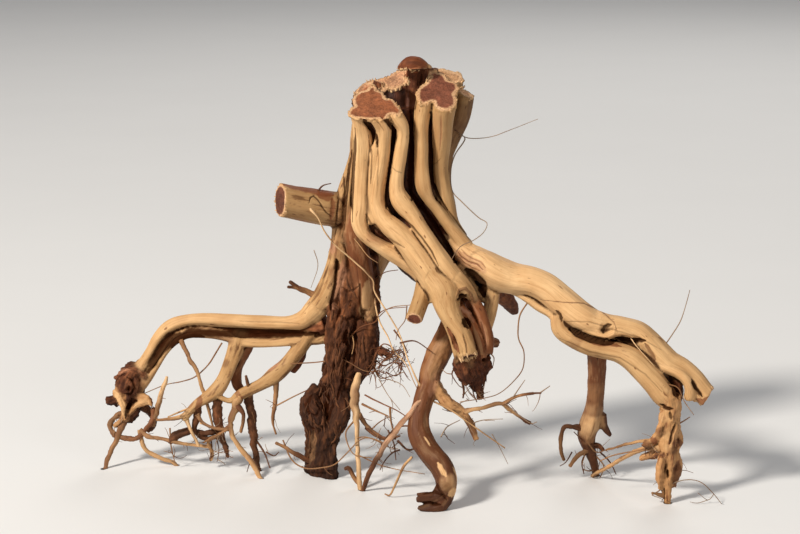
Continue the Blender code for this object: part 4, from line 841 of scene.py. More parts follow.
# Hair roots too fine for the solid: picture points, depth at start and end, thickness and colour
HAIRS = [
    ([(200, 423), (215, 428), (228, 430)], 24, 24, 1.0, "wood"),
    ([(186, 422), (192, 432), (199, 444)], 28, 26, 1.0, "wood"),
    ([(230, 428), (218, 435), (208, 440), (203, 443)], 30, 24, 1.4, "tan"),
    ([(188, 416), (172, 418), (157, 420)], 30, 30, 1.4, "wood"),
    ([(198, 405), (180, 412), (168, 417)], 27, 32, 1.3, "wood"),
    ([(207, 404), (210, 414), (213, 427)], 25, 24, 1.9, "wood"),
    ([(222, 343), (208, 365), (195, 377), (180, 382), (165, 385), (143, 394)], 26, 50, 0.8, "tan"),
    ([(170, 428), (171, 445), (175, 463)], 31, 26, 0.9, "tan"),
    ([(210, 436), (212, 448), (210, 461)], 26, 24, 0.9, "brown"),
    ([(221, 434), (224, 446), (228, 458)], 28, 24, 0.9, "brown"),
    ([(216, 436), (219, 450), (217, 462)], 27, 26, 0.7, "brown"),
    ([(256, 440), (264, 452), (270, 468)], 10, 4, 1.2, "brown"),
    ([(266, 452), (274, 456), (279, 452)], 6, 4, 0.9, "brown"),
    ([(257, 455), (250, 463), (247, 472)], 2, 0, 0.8, "brown"),
    (
        [
            (283, 440), (292, 460), (305, 468), (320, 468), (335, 464), (350, 450), (360, 440), (370, 438),
            (387, 444),
        ],
        16, -50, 0.9, "tan",
    ),
    ([(354, 421), (346, 432), (348, 445), (355, 455), (372, 458)], -14, -40, 0.9, "tan"),
    ([(424, 397), (450, 410), (476, 428), (505, 448)], -62, -72, 1.1, "wood"),
    ([(455, 130), (468, 138), (490, 137), (510, 130), (538, 119)], -2, -20, 0.5, "grey"),
    (
        [
            (458, 134), (465, 139), (455, 155), (451, 170), (452, 190), (462, 202), (478, 217), (487, 223),
            (484, 232), (474, 240), (460, 247), (450, 262),
        ],
        -4, -60, 0.65, "grey",
    ),
    (
        [
            (528, 302), (520, 315), (518, 330), (519, 340), (524, 352), (523, 368), (515, 380), (500, 393),
            (485, 398), (460, 402),
        ],
        -40, -66, 0.8, "tan",
    ),
    ([(540, 393), (550, 386)], -72, -72, 0.7, "grey"),
    ([(512, 399), (518, 390), (525, 380)], -70, -74, 0.6, "grey"),
    ([(505, 403), (515, 412), (530, 423), (537, 422)], -68, -74, 0.7, "grey"),
    ([(346, 228), (358, 243), (368, 256), (378, 263)], -16, -30, 0.6, "wood"),
    ([(470, 378), (475, 388), (481, 397)], -60, -60, 1.6, "tan"),
    ([(462, 380), (464, 390), (463, 398)], -64, -64, 1.3, "brown"),
    ([(487, 360), (486, 374), (483, 392)], -58, -60, 0.8, "tan"),
    ([(474, 382), (473, 392), (477, 402)], -62, -64, 0.8, "brown"),
    ([(456, 366), (452, 374), (456, 382)], -70, -72, 0.9, "brown"),
    ([(489, 352), (494, 358), (493, 366)], -58, -58, 0.7, "tan"),
    ([(665, 345), (672, 335), (680, 322), (685, 308), (690, 290)], -56, -60, 0.7, "grey"),
    ([(378, 318), (390, 308), (410, 305)], -10, -50, 0.6, "tan"),
    ([(407, 306), (405, 320), (398, 330), (396, 340)], -50, -46, 0.6, "tan"),
    (
        [(374, 295), (379, 320), (388, 337), (394, 351), (406, 364), (413, 380), (417, 388)],
        -6, -64, 0.8, "pale",
    ),
    ([(394, 330), (402, 341), (408, 353)], -40, -50, 0.9, "brown"),
    ([(350, 337), (361, 327), (375, 322), (379, 314), (388, 309), (407, 307)], -2, -50, 0.7, "rust"),
    ([(386, 370), (398, 358), (402, 343)], -20, -46, 0.6, "tan"),
    ([(379, 379), (388, 395), (400, 410)], -22, -50, 0.5, "grey"),
    ([(388, 379), (402, 385), (410, 397)], -22, -56, 0.5, "grey"),
    ([(365, 395), (381, 403), (396, 410), (408, 418)], -20, -60, 1.0, "rust"),
    ([(355, 439), (365, 437), (377, 441), (388, 447), (398, 449)], -34, -52, 0.7, "tan"),
    (
        [(378, 350), (384, 344), (392, 348), (390, 358), (382, 362), (378, 370), (386, 374)],
        -10, -18, 0.8, "rust",
    ),
    ([(376, 360), (384, 366), (394, 362), (402, 368), (396, 376), (386, 372)], -10, -16, 0.8, "rust"),
    ([(380, 346), (392, 352), (400, 350), (405, 358), (400, 366)], -8, -14, 0.9, "rust"),
    ([(374, 368), (380, 378), (392, 376), (404, 372)], -10, -18, 0.7, "tan"),
    ([(377, 352), (374, 362), (378, 374), (388, 380)], -6, -12, 0.7, "rust"),
    ([(318, 191), (323, 185.5), (331, 183.5)], -6, -4, 0.9, "brown"),
    ([(314, 250), (318, 266), (311, 288)], -4, 10, 0.5, "grey"),
    ([(630, 337), (638, 348), (654, 366)], -60, -76, 0.5, "pale"),
    ([(667, 384), (678, 388), (684, 401), (694, 415)], -78, -84, 0.6, "tan"),
    ([(284, 364), (320, 362), (338, 358), (350, 363), (365, 371), (384, 371)], 8, -14, 0.7, "tan"),
    ([(272, 408), (295, 396), (314, 387)], 10, 4, 0.9, "tan"),
    ([(358, 455), (380, 465), (400, 470), (425, 474)], -40, -70, 0.7, "tan"),
    ([(412, 457), (403, 468), (395, 485), (390, 495), (385, 494)], -66, -66, 1.4, "wood"),
    ([(400, 343), (415, 341), (432, 352)], -40, -56, 0.9, "brown"),
    ([(376, 278), (386, 272), (398, 270)], -10, -34, 0.7, "brown"),
    ([(352, 333), (354, 344), (352, 354)], -14, -14, 0.8, "wood"),
    ([(441, 437), (447, 427), (460, 420)], -60, -66, 0.7, "grey"),
    ([(483, 345), (486, 362), (485, 378), (480, 396)], -56, -60, 0.8, "brown"),
    ([(362, 404), (374, 410), (388, 416)], -16, -30, 1.4, "tan"),
    ([(372, 429), (380, 422), (390, 416)], -26, -34, 0.8, "tan"),
    ([(390, 408), (391, 420), (394, 436)], -34, -40, 1.2, "tan"),
    ([(428, 430), (410, 426), (396, 428), (384, 440)], -66, -50, 1.1, "brown"),
    ([(366, 428), (376, 436), (388, 440), (400, 436)], -24, -60, 1.6, "brown"),
    ([(400, 450), (392, 453), (384, 462), (380, 470)], -66, -58, 1.0, "brown"),
    ([(398, 441), (408, 450), (418, 447)], -64, -68, 1.4, "brown"),
    ([(388, 430), (394, 444), (396, 460)], -58, -60, 1.0, "brown"),
    ([(378, 434), (382, 448), (378, 460)], -54, -56, 0.8, "brown"),
    ([(470, 424), (484, 420), (503, 419)], -60, -66, 0.6, "grey"),
    ([(492, 434), (500, 448), (508, 464)], -70, -66, 0.5, "grey"),
    ([(656, 444), (640, 450), (615, 455), (600, 461)], -80, -60, 1.0, "tan"),
    ([(594, 470), (588, 471), (583, 469)], -4, -4, 0.9, "tan"),
    ([(592, 474), (594, 482), (600, 486)], -4, -10, 0.9, "tan"),
    ([(668, 485), (685, 480), (700, 482), (712, 492), (720, 502), (724, 508)], -86, -92, 0.6, "grey"),
    ([(714, 494), (708, 500), (698, 493)], -90, -92, 0.45, "grey"),
    ([(708, 500), (698, 503), (690, 502)], -90, -92, 0.45, "grey"),
    ([(664, 486), (660, 490), (652, 495)], -84, -90, 0.9, "tan"),
    ([(678, 424), (682, 422), (690, 417)], -76, -74, 0.9, "tan"),
    ([(598, 446), (584, 441), (574, 432)], -8, -16, 0.9, "brown"),
    ([(600, 452), (610, 462), (616, 474)], -4, -8, 0.9, "brown"),
    ([(588, 450), (582, 462), (584, 474)], -8, -10, 0.8, "brown"),
    ([(596, 456), (604, 466), (600, 478)], -4, -6, 0.9, "tan"),
    ([(586, 440), (596, 452), (606, 450)], -12, -12, 0.8, "tan"),
    ([(572, 452), (566, 462), (560, 466)], -12, -18, 0.7, "brown"),
]

# Zones where fine hair roots grow at random: picture box, depths, count, longest length and colours
TANGLES = [
    ((366, 348, 404, 372), (-30, -6), 120, 24, ("rust", "rust", "brown")),
    ((372, 428, 412, 468), (-66, -36), 26, 20, ("tan", "brown", "grey")),
    ((160, 400, 240, 462), (14, 36), 70, 22, ("tan", "brown", "grey")),
    ((106, 395, 160, 440), (36, 60), 60, 14, ("tan", "brown", "grey")),
    ((575, 435, 610, 480), (-18, 4), 26, 20, ("tan", "brown", "grey")),
    ((640, 430, 690, 500), (-96, -76), 24, 18, ("tan", "brown", "grey")),
    ((250, 400, 345, 470), (-6, 18), 22, 20, ("tan", "brown", "grey")),
    ((410, 395, 480, 440), (-76, -56), 22, 22, ("tan", "brown", "grey")),
    ((450, 355, 500, 400), (-80, -50), 24, 14, ("tan", "brown", "grey")),
    ((460, 390, 540, 430), (-78, -56), 14, 22, ("tan", "brown", "grey")),
    ((345, 380, 400, 420), (-30, -6), 16, 22, ("tan", "brown", "grey")),
]

HAIR_TINTS = {
    "wood": (0.52, 0.31, 0.145), "tan": (0.29, 0.15, 0.066), "brown": (0.11, 0.042, 0.016),
    "grey": (0.30, 0.21, 0.14), "pink": (0.60, 0.36, 0.225), "pale": (0.68, 0.45, 0.24),
    "rust": (0.20, 0.075, 0.028),
}

# Colours of the thin roots from where they grow to their tips
ROOTLET_TINTS = {
    "floor_tip_left": ("tan", "tan"), "knot_ring": ("tan", "rust"), "knot_ring_back": ("brown", "brown"),
    "knot_runner": ("tan", "wood"), "knot_prop": ("wood", "wood"), "splinter": ("tan", "pale"),
    "elbow_tie": ("tan", "wood"), "left_branch_tip": ("wood", "tan"), "left_branch_spike": ("pale", "pale"),
    "cross_twig": ("tan", "tan"), "under_left": ("rust", "brown"), "under_left_drop": ("brown", "brown"),
    "under_left_bark": ("brown", "brown"), "runner_link": ("tan", "wood"), "prop_root": ("wood", "wood"),
    "bark_root": ("brown", "brown"), "hook_root": ("brown", "tan"), "stub_twig": ("tan", "brown"),
    "hanging_root": ("tan", "tan"), "side_root": ("brown", "tan"), "broken_twig": ("tan", "brown"),
    "broken_twig_fork": ("tan", "brown"), "long_wire": ("pale", "pale"), "pale_root": ("pale", "pale"),
    "pale_root_fork": ("tan", "rust"), "pale_root_toe": ("tan", "brown"), "peeled_root": ("pink", "brown"),
    "fork_prop": ("wood", "tan"), "fork_prop_up": ("tan", "brown"), "fork_prop_down": ("wood", "brown"),
    "back_foot_hook": ("brown", "tan"), "back_foot_left": ("tan", "tan"),
    "back_foot_right": ("brown", "brown"), "spear_root": ("wood", "wood"), "spear_twig": ("wood", "tan"),
    "foot_twig_left": ("tan", "tan"),
}

# How uneven the thin roots are that differ from the others
ROOTLET_ROUGHNESS = {
    "pale_root": 0.12, "peeled_root": 0.12, "long_wire": 0.1, "knot_ring": 0.42, "knot_ring_back": 0.4,
    "under_left": 0.34, "under_left_drop": 0.34, "under_left_bark": 0.4, "pale_root_fork": 0.34,
    "bark_root": 0.3, "back_foot_left": 0.3,
}

# Fine noise of the material: features a metre across, across and along the grain, layers and roughness
FINE_NOISE = {
    "fibre": ((1100, 1100, 45), 4.0, 0.6),
    "streak": ((330, 330, 9), 3.0, 0.55),
    "line": ((620, 620, 12), 2.0, 0.55),
    "crackle": ((420, 420, 95), 5.0, 0.68),
    "nick": ((300, 300, 90), 1.0, 0.55),
    "blotch": ((34, 34, 34), 3.0, 0.55),
    "speckle": ((900, 900, 900), 3.0, 0.6),
}
# How each noise shades the colour: where along the noise, and the factor there
SHADES = {
    "streak": [(0.28, (0.84, 0.77, 0.70)), (0.50, 1.0), (0.72, (1.05, 1.05, 1.04))],
    "fibre": [(0.26, (0.80, 0.74, 0.66)), (0.50, 1.0), (0.75, (1.05, 1.05, 1.05))],
    "line": [(0.27, (0.42, 0.28, 0.18)), (0.33, 1.0)],
    "blotch": [(0.32, (0.86, 0.78, 0.70)), (0.66, (1.06, 1.06, 1.06))],
    "crackle": [(0.34, (0.45, 0.40, 0.36)), (0.52, 1.0), (0.72, (1.9, 1.8, 1.7))],
    "nick": [(0.24, (0.30, 0.18, 0.11)), (0.28, 1.0)],
    "speckle": [(0.34, (0.62, 0.55, 0.52)), (0.50, 1.0), (0.66, (1.28, 1.3, 1.34))],
}

# Rounds of averaging: the skin itself, its dips, its hollows, and what a limb passes on to the next
SMOOTH_ROUNDS = 3
DIP_ROUNDS = 14
HOLLOW_ROUNDS = 46
CALM_ROUNDS = 10
TONE_ROUNDS = 22
SCRAP_ROUNDS = 5
# Vertices handled at a time, and the shift of the grain from limb to limb in metres
FIELD_BLOCK = 4000
GRAIN_SHIFT = 0.37
# Width of the border between kinds, and half width below which a stroke needs finer faces, in millimetres
KIND_BLEND = 0.9
FINE_STROKE = 3.2
# What a darker limb loses of each colour, so that its painted shade turns warmer, and how much of a groove's
# colour is its own
WARM_LOSS = (0.0, 0.16, 0.42)
GROOVE_SHARE = 0.94

# Hair roots: taper, and the depths tried when one is set on what carries it
HAIR_TAPER = 0.45
DEPTH_SEARCH = sorted(range(-44, 46, 2), key=abs)
# Fibres at breaks and at saw cuts: count and length; how deep they start and their radii, in millimetres
TORN_FIBRES = (34, 3.6)
SAWN_FIBRES = (16, 1.5)
FIBRE_START = 2.2
FIBRE_RADII = (1.2, 1.2, 1.0, 0.7, 0.25)
# Loose strips of bark: how many, and the step along them in millimetres
FLAKES = 110
FLAKE_STEP = 2.4
# First seed of each family of thin roots
HAIR_SEED = 200
WISP_SEED = 500
FIBRE_SEED = 900
FLAKE_SEED = 1300


def unit(vector):
    """The vector at length one."""
    return np.array(vector) / np.linalg.norm(vector)


def smoothstep(low, high, value):
    """A soft step from 0 at low to 1 at high."""
    t = np.clip((value - low) / (high - low), 0, 1)
    return t * t * (3 - 2 * t)


def towards(colours, share, other):
    """The colours moved towards another, as far as the share says."""
    return colours + share[:, None] * (np.array(other) - colours)


def values_of(items, name, width=1, kind=np.float32):
    """A property of each of the items as an array."""
    flat = np.empty(len(items) * width, kind)
    items.foreach_get(name, flat)
    return flat.reshape(-1, width) if width > 1 else flat


def coordinates(mesh):
    """The mesh's vertices as an array."""
    return values_of(mesh.vertices, "co", 3).astype(float)


def edge_ends(mesh):
    """The two vertices of each edge."""
    return values_of(mesh.edges, "vertices", 2, np.int32)


def vertex_normals(piece):
    """The way each vertex of the piece faces."""
    return values_of(piece.data.vertex_normals, "vector", 3).astype(float)


def read_values(mesh, name):
    """A value that the mesh keeps for each vertex."""
    return values_of(mesh.attributes[name].data, "value")


def write_values(mesh, name, values):
    """Keeps a value for each vertex on the mesh."""
    layer = mesh.attributes.new(name, "FLOAT", "POINT")
    layer.data.foreach_set("value", np.asarray(values, np.float32).ravel())


def move_vertices(mesh, verts):
    """Puts the mesh's vertices at new places."""
    mesh.vertices.foreach_set("co", verts.astype(np.float32).ravel())
    mesh.update()


def place(spots):
    """Points in metres from how they look from the front and their real depth, in millimetres."""
    across, up, back = np.asarray(spots, float)[..., :3].T
    sine, cosine = math.sin(SIGHT), math.cos(SIGHT)

    def level(height, depth):
        seen = height - EYE_LINE
        rise = (seen * (1 + depth * cosine / EYE) - depth * sine) / (cosine + seen * sine / EYE)
        return rise, depth * cosine - rise * sine

    floor = level(0.0, FOOT_BACK)[0]
    rise, away = level(up, back)
    return np.stack([across * (1 + away / EYE) - MIDDLE[0], back - MIDDLE[1], rise - floor], -1) * MM


def picture(points):
    """Where points in metres show in the picture from the front, in its pixels."""
    local = points - np.array(CAMERA_SPOT)
    depth = local[:, 1] * math.sin(CAMERA_TILT) - local[:, 2] * math.cos(CAMERA_TILT)
    upward = local[:, 1] * math.cos(CAMERA_TILT) + local[:, 2] * math.sin(CAMERA_TILT)
    focal = LENS / SENSOR * PICTURE_WIDTH
    return np.column_stack([
        PICTURE_MIDDLE[0] + focal * local[:, 0] / depth, PICTURE_MIDDLE[1] - focal * upward / depth,
    ])


def depths_behind(verts):
    """How far behind the routes' zero depth each vertex lies, in millimetres."""
    return verts[:, 1] / MM + MIDDLE[1]


def follow(route, step):
    """Points and radii along a smooth curve through the route, about a step in millimetres apart."""
    knots = np.column_stack([place(route), np.asarray(route, float)[:, 3] * MM])
    knots = np.vstack([2 * knots[0] - knots[1], knots, 2 * knots[-1] - knots[-2]])
    knots[0, 3], knots[-1, 3] = knots[1, 3], knots[-2, 3]
    line = []
    for before, start, end, after in zip(knots, knots[1:], knots[2:], knots[3:]):
        count = max(2, math.ceil(np.linalg.norm(end[:3] - start[:3]) / (step * MM)))
        t = (np.arange(count) / count)[:, None]
        line.append(0.5 * (
            2 * start + (end - before) * t + (2 * before - 5 * start + 4 * end - after) * t**2
            + (3 * start - before - 3 * end + after) * t**3
        ))
    line = np.vstack([*line, knots[-2]])
    return line[:, :3], np.maximum(line[:, 3], 0.0002)


def frames_along(points):
    """Tangents and two steady normals along a line of points."""
    tangents = np.gradient(points, axis=0)
    tangents /= np.linalg.norm(tangents, axis=1)[:, None]
    side = np.cross(tangents[0], (0.0, 1.0, 0.1))
    side /= np.linalg.norm(side)
    sides = []
    for tangent in tangents:
        side = side - tangent * (side @ tangent)
        side = side / np.linalg.norm(side)
        sides.append(side)
    sides = np.array(sides)
    return tangents, sides, np.cross(tangents, sides)


def run_along(points):
    """How far along the line each of its points lies."""
    return np.concatenate([[0], np.cumsum(np.linalg.norm(np.diff(points, axis=0), axis=1))])


def hashed(x, y, z, seed):
    """A steady pseudo-random number from 0 to 1 for whole coordinates."""
    mixed = (x * 374761393 + y * 668265263 + z * 2147483647 + seed * 974634777) & 0xFFFFFFFF
    mixed = ((mixed ^ (mixed >> 13)) * 1274126177) & 0xFFFFFFFF
    return ((mixed ^ (mixed >> 16)) & 0xFFFFFF) / 0xFFFFFF


def noise(points, seed=0):
    """Smooth noise from -1 to 1 at points whose unit is one feature."""
    low = np.floor(points).astype(np.int64)
    part = points - low
    part = part * part * (3 - 2 * part)
    total = 0.0
    for corner in range(8):
        dx, dy, dz = corner & 1, corner >> 1 & 1, corner >> 2
        weight = 1.0
        for axis, high in enumerate((dx, dy, dz)):
            weight = weight * (part[:, axis] if high else 1 - part[:, axis])
        total = total + weight * hashed(low[:, 0] + dx, low[:, 1] + dy, low[:, 2] + dz, seed)
    return 2 * total - 1


def layered(points, octaves, seed=0):
    """Noise with finer, weaker layers added."""
    return sum(noise(points * 2**k, seed + k) * 0.55**k for k in range(octaves))


def tube(points, radii, sides, wave=0.0, seed=0):
    """Vertices and faces of a closed tube; wave makes its section uneven."""
    _, one, two = frames_along(points)
    angle = np.arange(sides) * 2 * math.pi / sides
    ring = np.arange(len(points))
    swell = np.ones((len(points), sides))
    if wave:
        turns = hashed(seed, 1, 1, 5) * 6.3
        slow = ring / 14.0
        swell = swell + wave * np.sin(2 * angle[None] + turns + slow[:, None])
        swell = swell + 0.7 * wave * np.sin(3 * angle[None] - turns * 2 - slow[:, None] * 1.7)
    reach = radii[:, None] * swell
    around = np.cos(angle)[None, :, None] * one[:, None] + np.sin(angle)[None, :, None] * two[:, None]
    verts = (points[:, None] + reach[..., None] * around).reshape(-1, 3)
    faces = []
    for r in range(len(points) - 1):
        for s in range(sides):
            n = (s + 1) % sides
            faces.append((r * sides + s, r * sides + n, (r + 1) * sides + n, (r + 1) * sides + s))
    faces.append(tuple(range(sides - 1, -1, -1)))
    faces.append(tuple((len(points) - 1) * sides + s for s in range(sides)))
    return verts, faces


def mesh_object(name, verts, faces):
    """A mesh object in the scene."""
    mesh = bpy.data.meshes.new(name)
    mesh.from_pydata([tuple(v) for v in verts], [], faces)
    piece = bpy.data.objects.new(name, mesh)
    bpy.context.scene.collection.objects.link(piece)
    return piece


def gathered(parts):
    """Vertices and faces of several meshes as one list each."""
    verts, faces, start = [], [], 0
    for part_verts, part_faces in parts:
        verts.append(part_verts)
        faces.extend(tuple(i + start for i in face) for face in part_faces)
        start += len(part_verts)
    return np.vstack(verts), faces


def cut_off(work, spot, facing):
    """Takes away what lies beyond the plane, closes the cut and gives its new faces."""
    everything = [*work.verts, *work.edges, *work.faces]
    cut = bmesh.ops.bisect_plane(work, geom=everything, plane_co=spot, plane_no=facing, clear_outer=True)
    rim = [part for part in cut["geom_cut"] if isinstance(part, bmesh.types.BMEdge)]
    return bmesh.ops.holes_fill(work, edges=rim)["faces"] if rim else []


def cut_limb(verts, faces, cuts):
    """Cuts the limb at each plane and closes it there."""
    work = bmesh.new()
    made = [work.verts.new(v) for v in verts]
    for face in faces:
        work.faces.new([made[i] for i in face])
    for spot, facing in cuts:
        cut_off(work, spot, facing)
    work.verts.index_update()
    new_verts = np.array([v.co for v in work.verts])
    new_faces = [tuple(v.index for v in face.verts) for face in work.faces]
    work.free()
    return new_verts, new_faces


def applied(piece):
    """Replaces the object's mesh by what its modifiers make of it."""
    bpy.context.view_layer.update()
    mesh = bpy.data.meshes.new_from_object(piece.evaluated_get(bpy.context.evaluated_depsgraph_get()))
    piece.modifiers.clear()
    piece.data = mesh


def relaxed(values, ends, rounds):
    """The values averaged with their neighbours' a number of times."""
    count = len(values)
    a, b = ends.T
    neighbours = np.maximum(np.bincount(a, minlength=count) + np.bincount(b, minlength=count), 1)
    for _ in range(rounds):
        summed = np.stack([
            np.bincount(a, column[b], count) + np.bincount(b, column[a], count) for column in values.T
        ], -1)
        values = 0.5 * values + 0.5 * summed / neighbours[:, None]
    return values


def skin_of(routes):
    """The limbs fused into one fine skin."""
    parts = []
    for number, (name, route) in enumerate(routes.items()):
        points, radii = follow(route, LIMB_STEP)
        cuts = [(place(spot), facing) for spot, facing, names in CUTS.values() if name in names]
        verts, faces = tube(points, radii, LIMB_SIDES, LIMB_WAVE, number)
        if cuts:
            verts, faces = cut_limb(verts, faces, cuts)
        parts.append((verts, faces))
    piece = mesh_object("root_skin", *gathered(parts))
    work = bmesh.new()
    work.from_mesh(piece.data)
    bmesh.ops.recalc_face_normals(work, faces=work.faces)
    work.to_mesh(piece.data)
    work.free()
    fuse = piece.modifiers.new("fuse", "REMESH")
    fuse.mode = "VOXEL"
    fuse.voxel_size = GRID * MM
    applied(piece)
    return piece


def limb_fields(verts, routes):
    """Each vertex's place in the nearest limb's straightened wood, and how far it lies outside each limb."""
    names, points, radii, frames, starts, lengths = [], [], [], [], [], []
    for number, (name, route) in enumerate(routes.items()):
        line, radius = follow(route, FIELD_STEP)
        tangents, one, two = frames_along(line)
        starts.append(sum(map(len, points)))
        names.append(name)
        points.append(line)
        radii.append(radius)
        frames.append(np.stack([one, two, tangents], 1))
        lengths.append(run_along(line) + number * GRAIN_SHIFT)
    points, radii, frames, lengths = map(np.concatenate, (points, radii, frames, lengths))
    grain = np.empty((len(verts), 3))
    outside = np.empty((len(verts), len(names)), np.float32)
    flat_points = points.astype(np.float32)
    squares = (flat_points**2).sum(1)
    for begin in range(0, len(verts), FIELD_BLOCK):
        block = slice(begin, begin + FIELD_BLOCK)
        some = verts[block].astype(np.float32)
        gap = np.sqrt(np.maximum((some**2).sum(1)[:, None] + squares[None] - 2 * some @ flat_points.T, 0))
        gap -= radii[None].astype(np.float32)
        outside[block] = np.minimum.reduceat(gap, starts, axis=1)
        near = gap.argmin(1)
        local = np.einsum("nij,nj->ni", frames[near], verts[block] - points[near])
        local[:, 2] += lengths[near]
        grain[block] = local
    return names, grain, outside


def stroke_distance(spots, line):
    """How far each picture point is from a line of them, and how far along the line, from 0 to 1."""
    line = np.asarray(line, float)
    lengths = np.linalg.norm(np.diff(line, axis=0), axis=1)
    best = np.full(len(spots), 1e9)
    along = np.zeros(len(spots))
    for start, end, run, length in zip(line, line[1:], np.cumsum(lengths) - lengths, lengths):
        way = end - start
        share = np.clip(((spots - start) @ way) / (way @ way), 0, 1)
        gap = np.linalg.norm(spots - start - share[:, None] * way, axis=1)
        along = np.where(gap < best, (run + share * length) / lengths.sum(), along)
        best = np.minimum(best, gap)
    return best, along


def nearest_gap(spots, others):
    """How far each spot is from the nearest of the others."""
    gaps = np.full(len(spots), 1.0)
    for begin in range(0, len(spots), 500):
        some = spots[begin:begin + 500]
        gaps[begin:begin + 500] = np.sqrt(((some[:, None] - others[None]) ** 2).sum(2).min(1))
    return gaps


def cut_masks(verts, normals, names, outside, ragged):
    """How much each vertex lies on a cut, how much on its pale rim, its middle colour and its torn lip."""
    cut = np.zeros(len(verts))
    rim = np.zeros(len(verts))
    lip = np.zeros(len(verts))
    face = np.zeros((len(verts), 3))
    frill = 0.55 + 0.9 * noise(verts / (4.5 * MM), 5) + 0.5 * noise(verts / (1.8 * MM), 6)
    for name, (spot, facing, limbs) in CUTS.items():
        facing = unit(facing)
        ahead = (verts - place(spot)) @ facing
        gap = outside[:, [names.index(limb) for limb in limbs]].min(1)
        level = smoothstep(3.2 * MM, 1.2 * MM, np.abs(ahead)) * (gap < 2.5 * MM)
        here = level * smoothstep(0.45, 0.8, normals @ facing)
        middle, wide, reach = CUT_LOOKS[name]
        inner = np.flatnonzero(here > 0.5)
        outer = np.flatnonzero((here < 0.5) & (np.abs(ahead) < 4 * MM) & (gap < 4 * MM))
        if len(inner) and len(outer):
            inside = nearest_gap(verts[inner], verts[outer])
            rim[inner] = smoothstep(wide * 1.4 * MM, wide * 0.7 * MM, inside + 0.6 * ragged[inner])
        rim[(here > cut) & (here <= 0.5)] = 1.0
        face = np.where((here > cut)[:, None], np.array(middle), face)
        cut = np.maximum(cut, here)
        near = np.exp(-((ahead + 1.0 * MM) / (2.6 * MM)) ** 2) * (gap < 3 * MM)
        lip = np.maximum(lip, reach * near * np.clip(frill, -0.3, 1.6))
    return cut, rim, face, lip


def refined(piece, chosen):
    """Splits the faces between chosen vertices, so that sharp marks have enough points."""
    work = bmesh.new()
    work.from_mesh(piece.data)
    edges = [edge for edge in work.edges if chosen[edge.verts[0].index] and chosen[edge.verts[1].index]]
    bmesh.ops.subdivide_edges(work, edges=edges, cuts=1, use_grid_fill=True)
    work.to_mesh(piece.data)
    work.free()


def sharp_places(verts, normals):
    """Which vertices lie near a fine stroke or near a cut."""
    spots = picture(verts)
    back = depths_behind(verts)
    toward = np.array(CAMERA_SPOT) - verts
    front = np.einsum("ni,ni->n", toward, normals) > -0.3 * np.linalg.norm(toward, axis=1)
    chosen = np.zeros(len(verts), bool)
    for line, width, _, _, _, depths in STROKES:
        if width < FINE_STROKE:
            close = stroke_distance(spots, line)[0] < 1.8 * width + 1.5
            chosen |= front & (back > depths[0]) & (back < depths[1]) & close
    for name, (spot, facing, _) in CUTS.items():
        away = verts - place(spot)
        close = np.linalg.norm(away, axis=1) < 40 * MM
        chosen |= (np.abs(away @ unit(facing)) < 5 * MM) & close & (name != "back")
    return chosen


def eased(piece):
    """Smooths the skin, keeps how far each vertex dips, and splits the faces where marks are sharp."""
    mesh = piece.data
    ends = edge_ends(mesh)
    verts = relaxed(coordinates(mesh), ends, SMOOTH_ROUNDS)
    move_vertices(mesh, verts)
    normals = vertex_normals(piece)
    slow = relaxed(verts, ends, DIP_ROUNDS)
    broad = relaxed(slow, ends, HOLLOW_ROUNDS)
    write_values(mesh, "dip", np.einsum("ni,ni->n", slow - verts, normals) / MM)
    write_values(mesh, "hollow", np.einsum("ni,ni->n", broad - verts, normals) / MM)
    refined(piece, sharp_places(verts, normals))


def noises(verts, grain):
    """Each kind of noise at every vertex."""
    made = {}
    for name, (width, length, layers, seed) in GRAIN_NOISE.items():
        made[name] = layered(grain / MM / (width, width, length), layers, seed)
    for name, (size, layers, seed) in ROUND_NOISE.items():
        made[name] = layered(verts / (size * MM), layers, seed)
    made["ragged"] = noise(verts / (9 * MM), 3) * 1.4 * MM + noise(verts / (3.2 * MM), 4) * 0.9 * MM
    return SimpleNamespace(**made)


def kind_shares(verts, names, outside, ragged):
    """How much of each kind of surface each vertex has, from the nearest limbs and the spots."""
    covered = set().union(*SURFACES.values())
    reach = []
    for kind in KINDS:
        if kind == "wood":
            columns = [i for i, name in enumerate(names) if name not in covered]
        else:
            columns = [i for i, name in enumerate(names) if name in SURFACES[kind]]
        reach.append(outside[:, columns].min(1) + (ragged if kind == "wood" else 0.0))
    reach = np.stack(reach, -1)
    share = np.exp(-(reach - reach.min(1)[:, None]) / (KIND_BLEND * MM))
    for across, up, back, radius, kind, strength in SPOTS:
        gap = np.linalg.norm(verts - place((across, up, back)), axis=1)
        blob = smoothstep(radius * 1.25 * MM, radius * 0.6 * MM, gap + ragged * 1.2)
        share[:, KINDS.index(kind)] += blob * strength * share.sum(1)
    share /= share.sum(1)[:, None]
    return SimpleNamespace(all=share, **{kind: share[:, i] for i, kind in enumerate(KINDS)})


def spread(table, rest, near, names, ends, rounds):
    """The value of each vertex's nearest limb, eased into its neighbours'."""
    values = np.full(len(near), rest, float)
    for name, value in table.items():
        values[near == names.index(name)] = value
    return relaxed(values[:, None], ends, rounds)[:, 0]


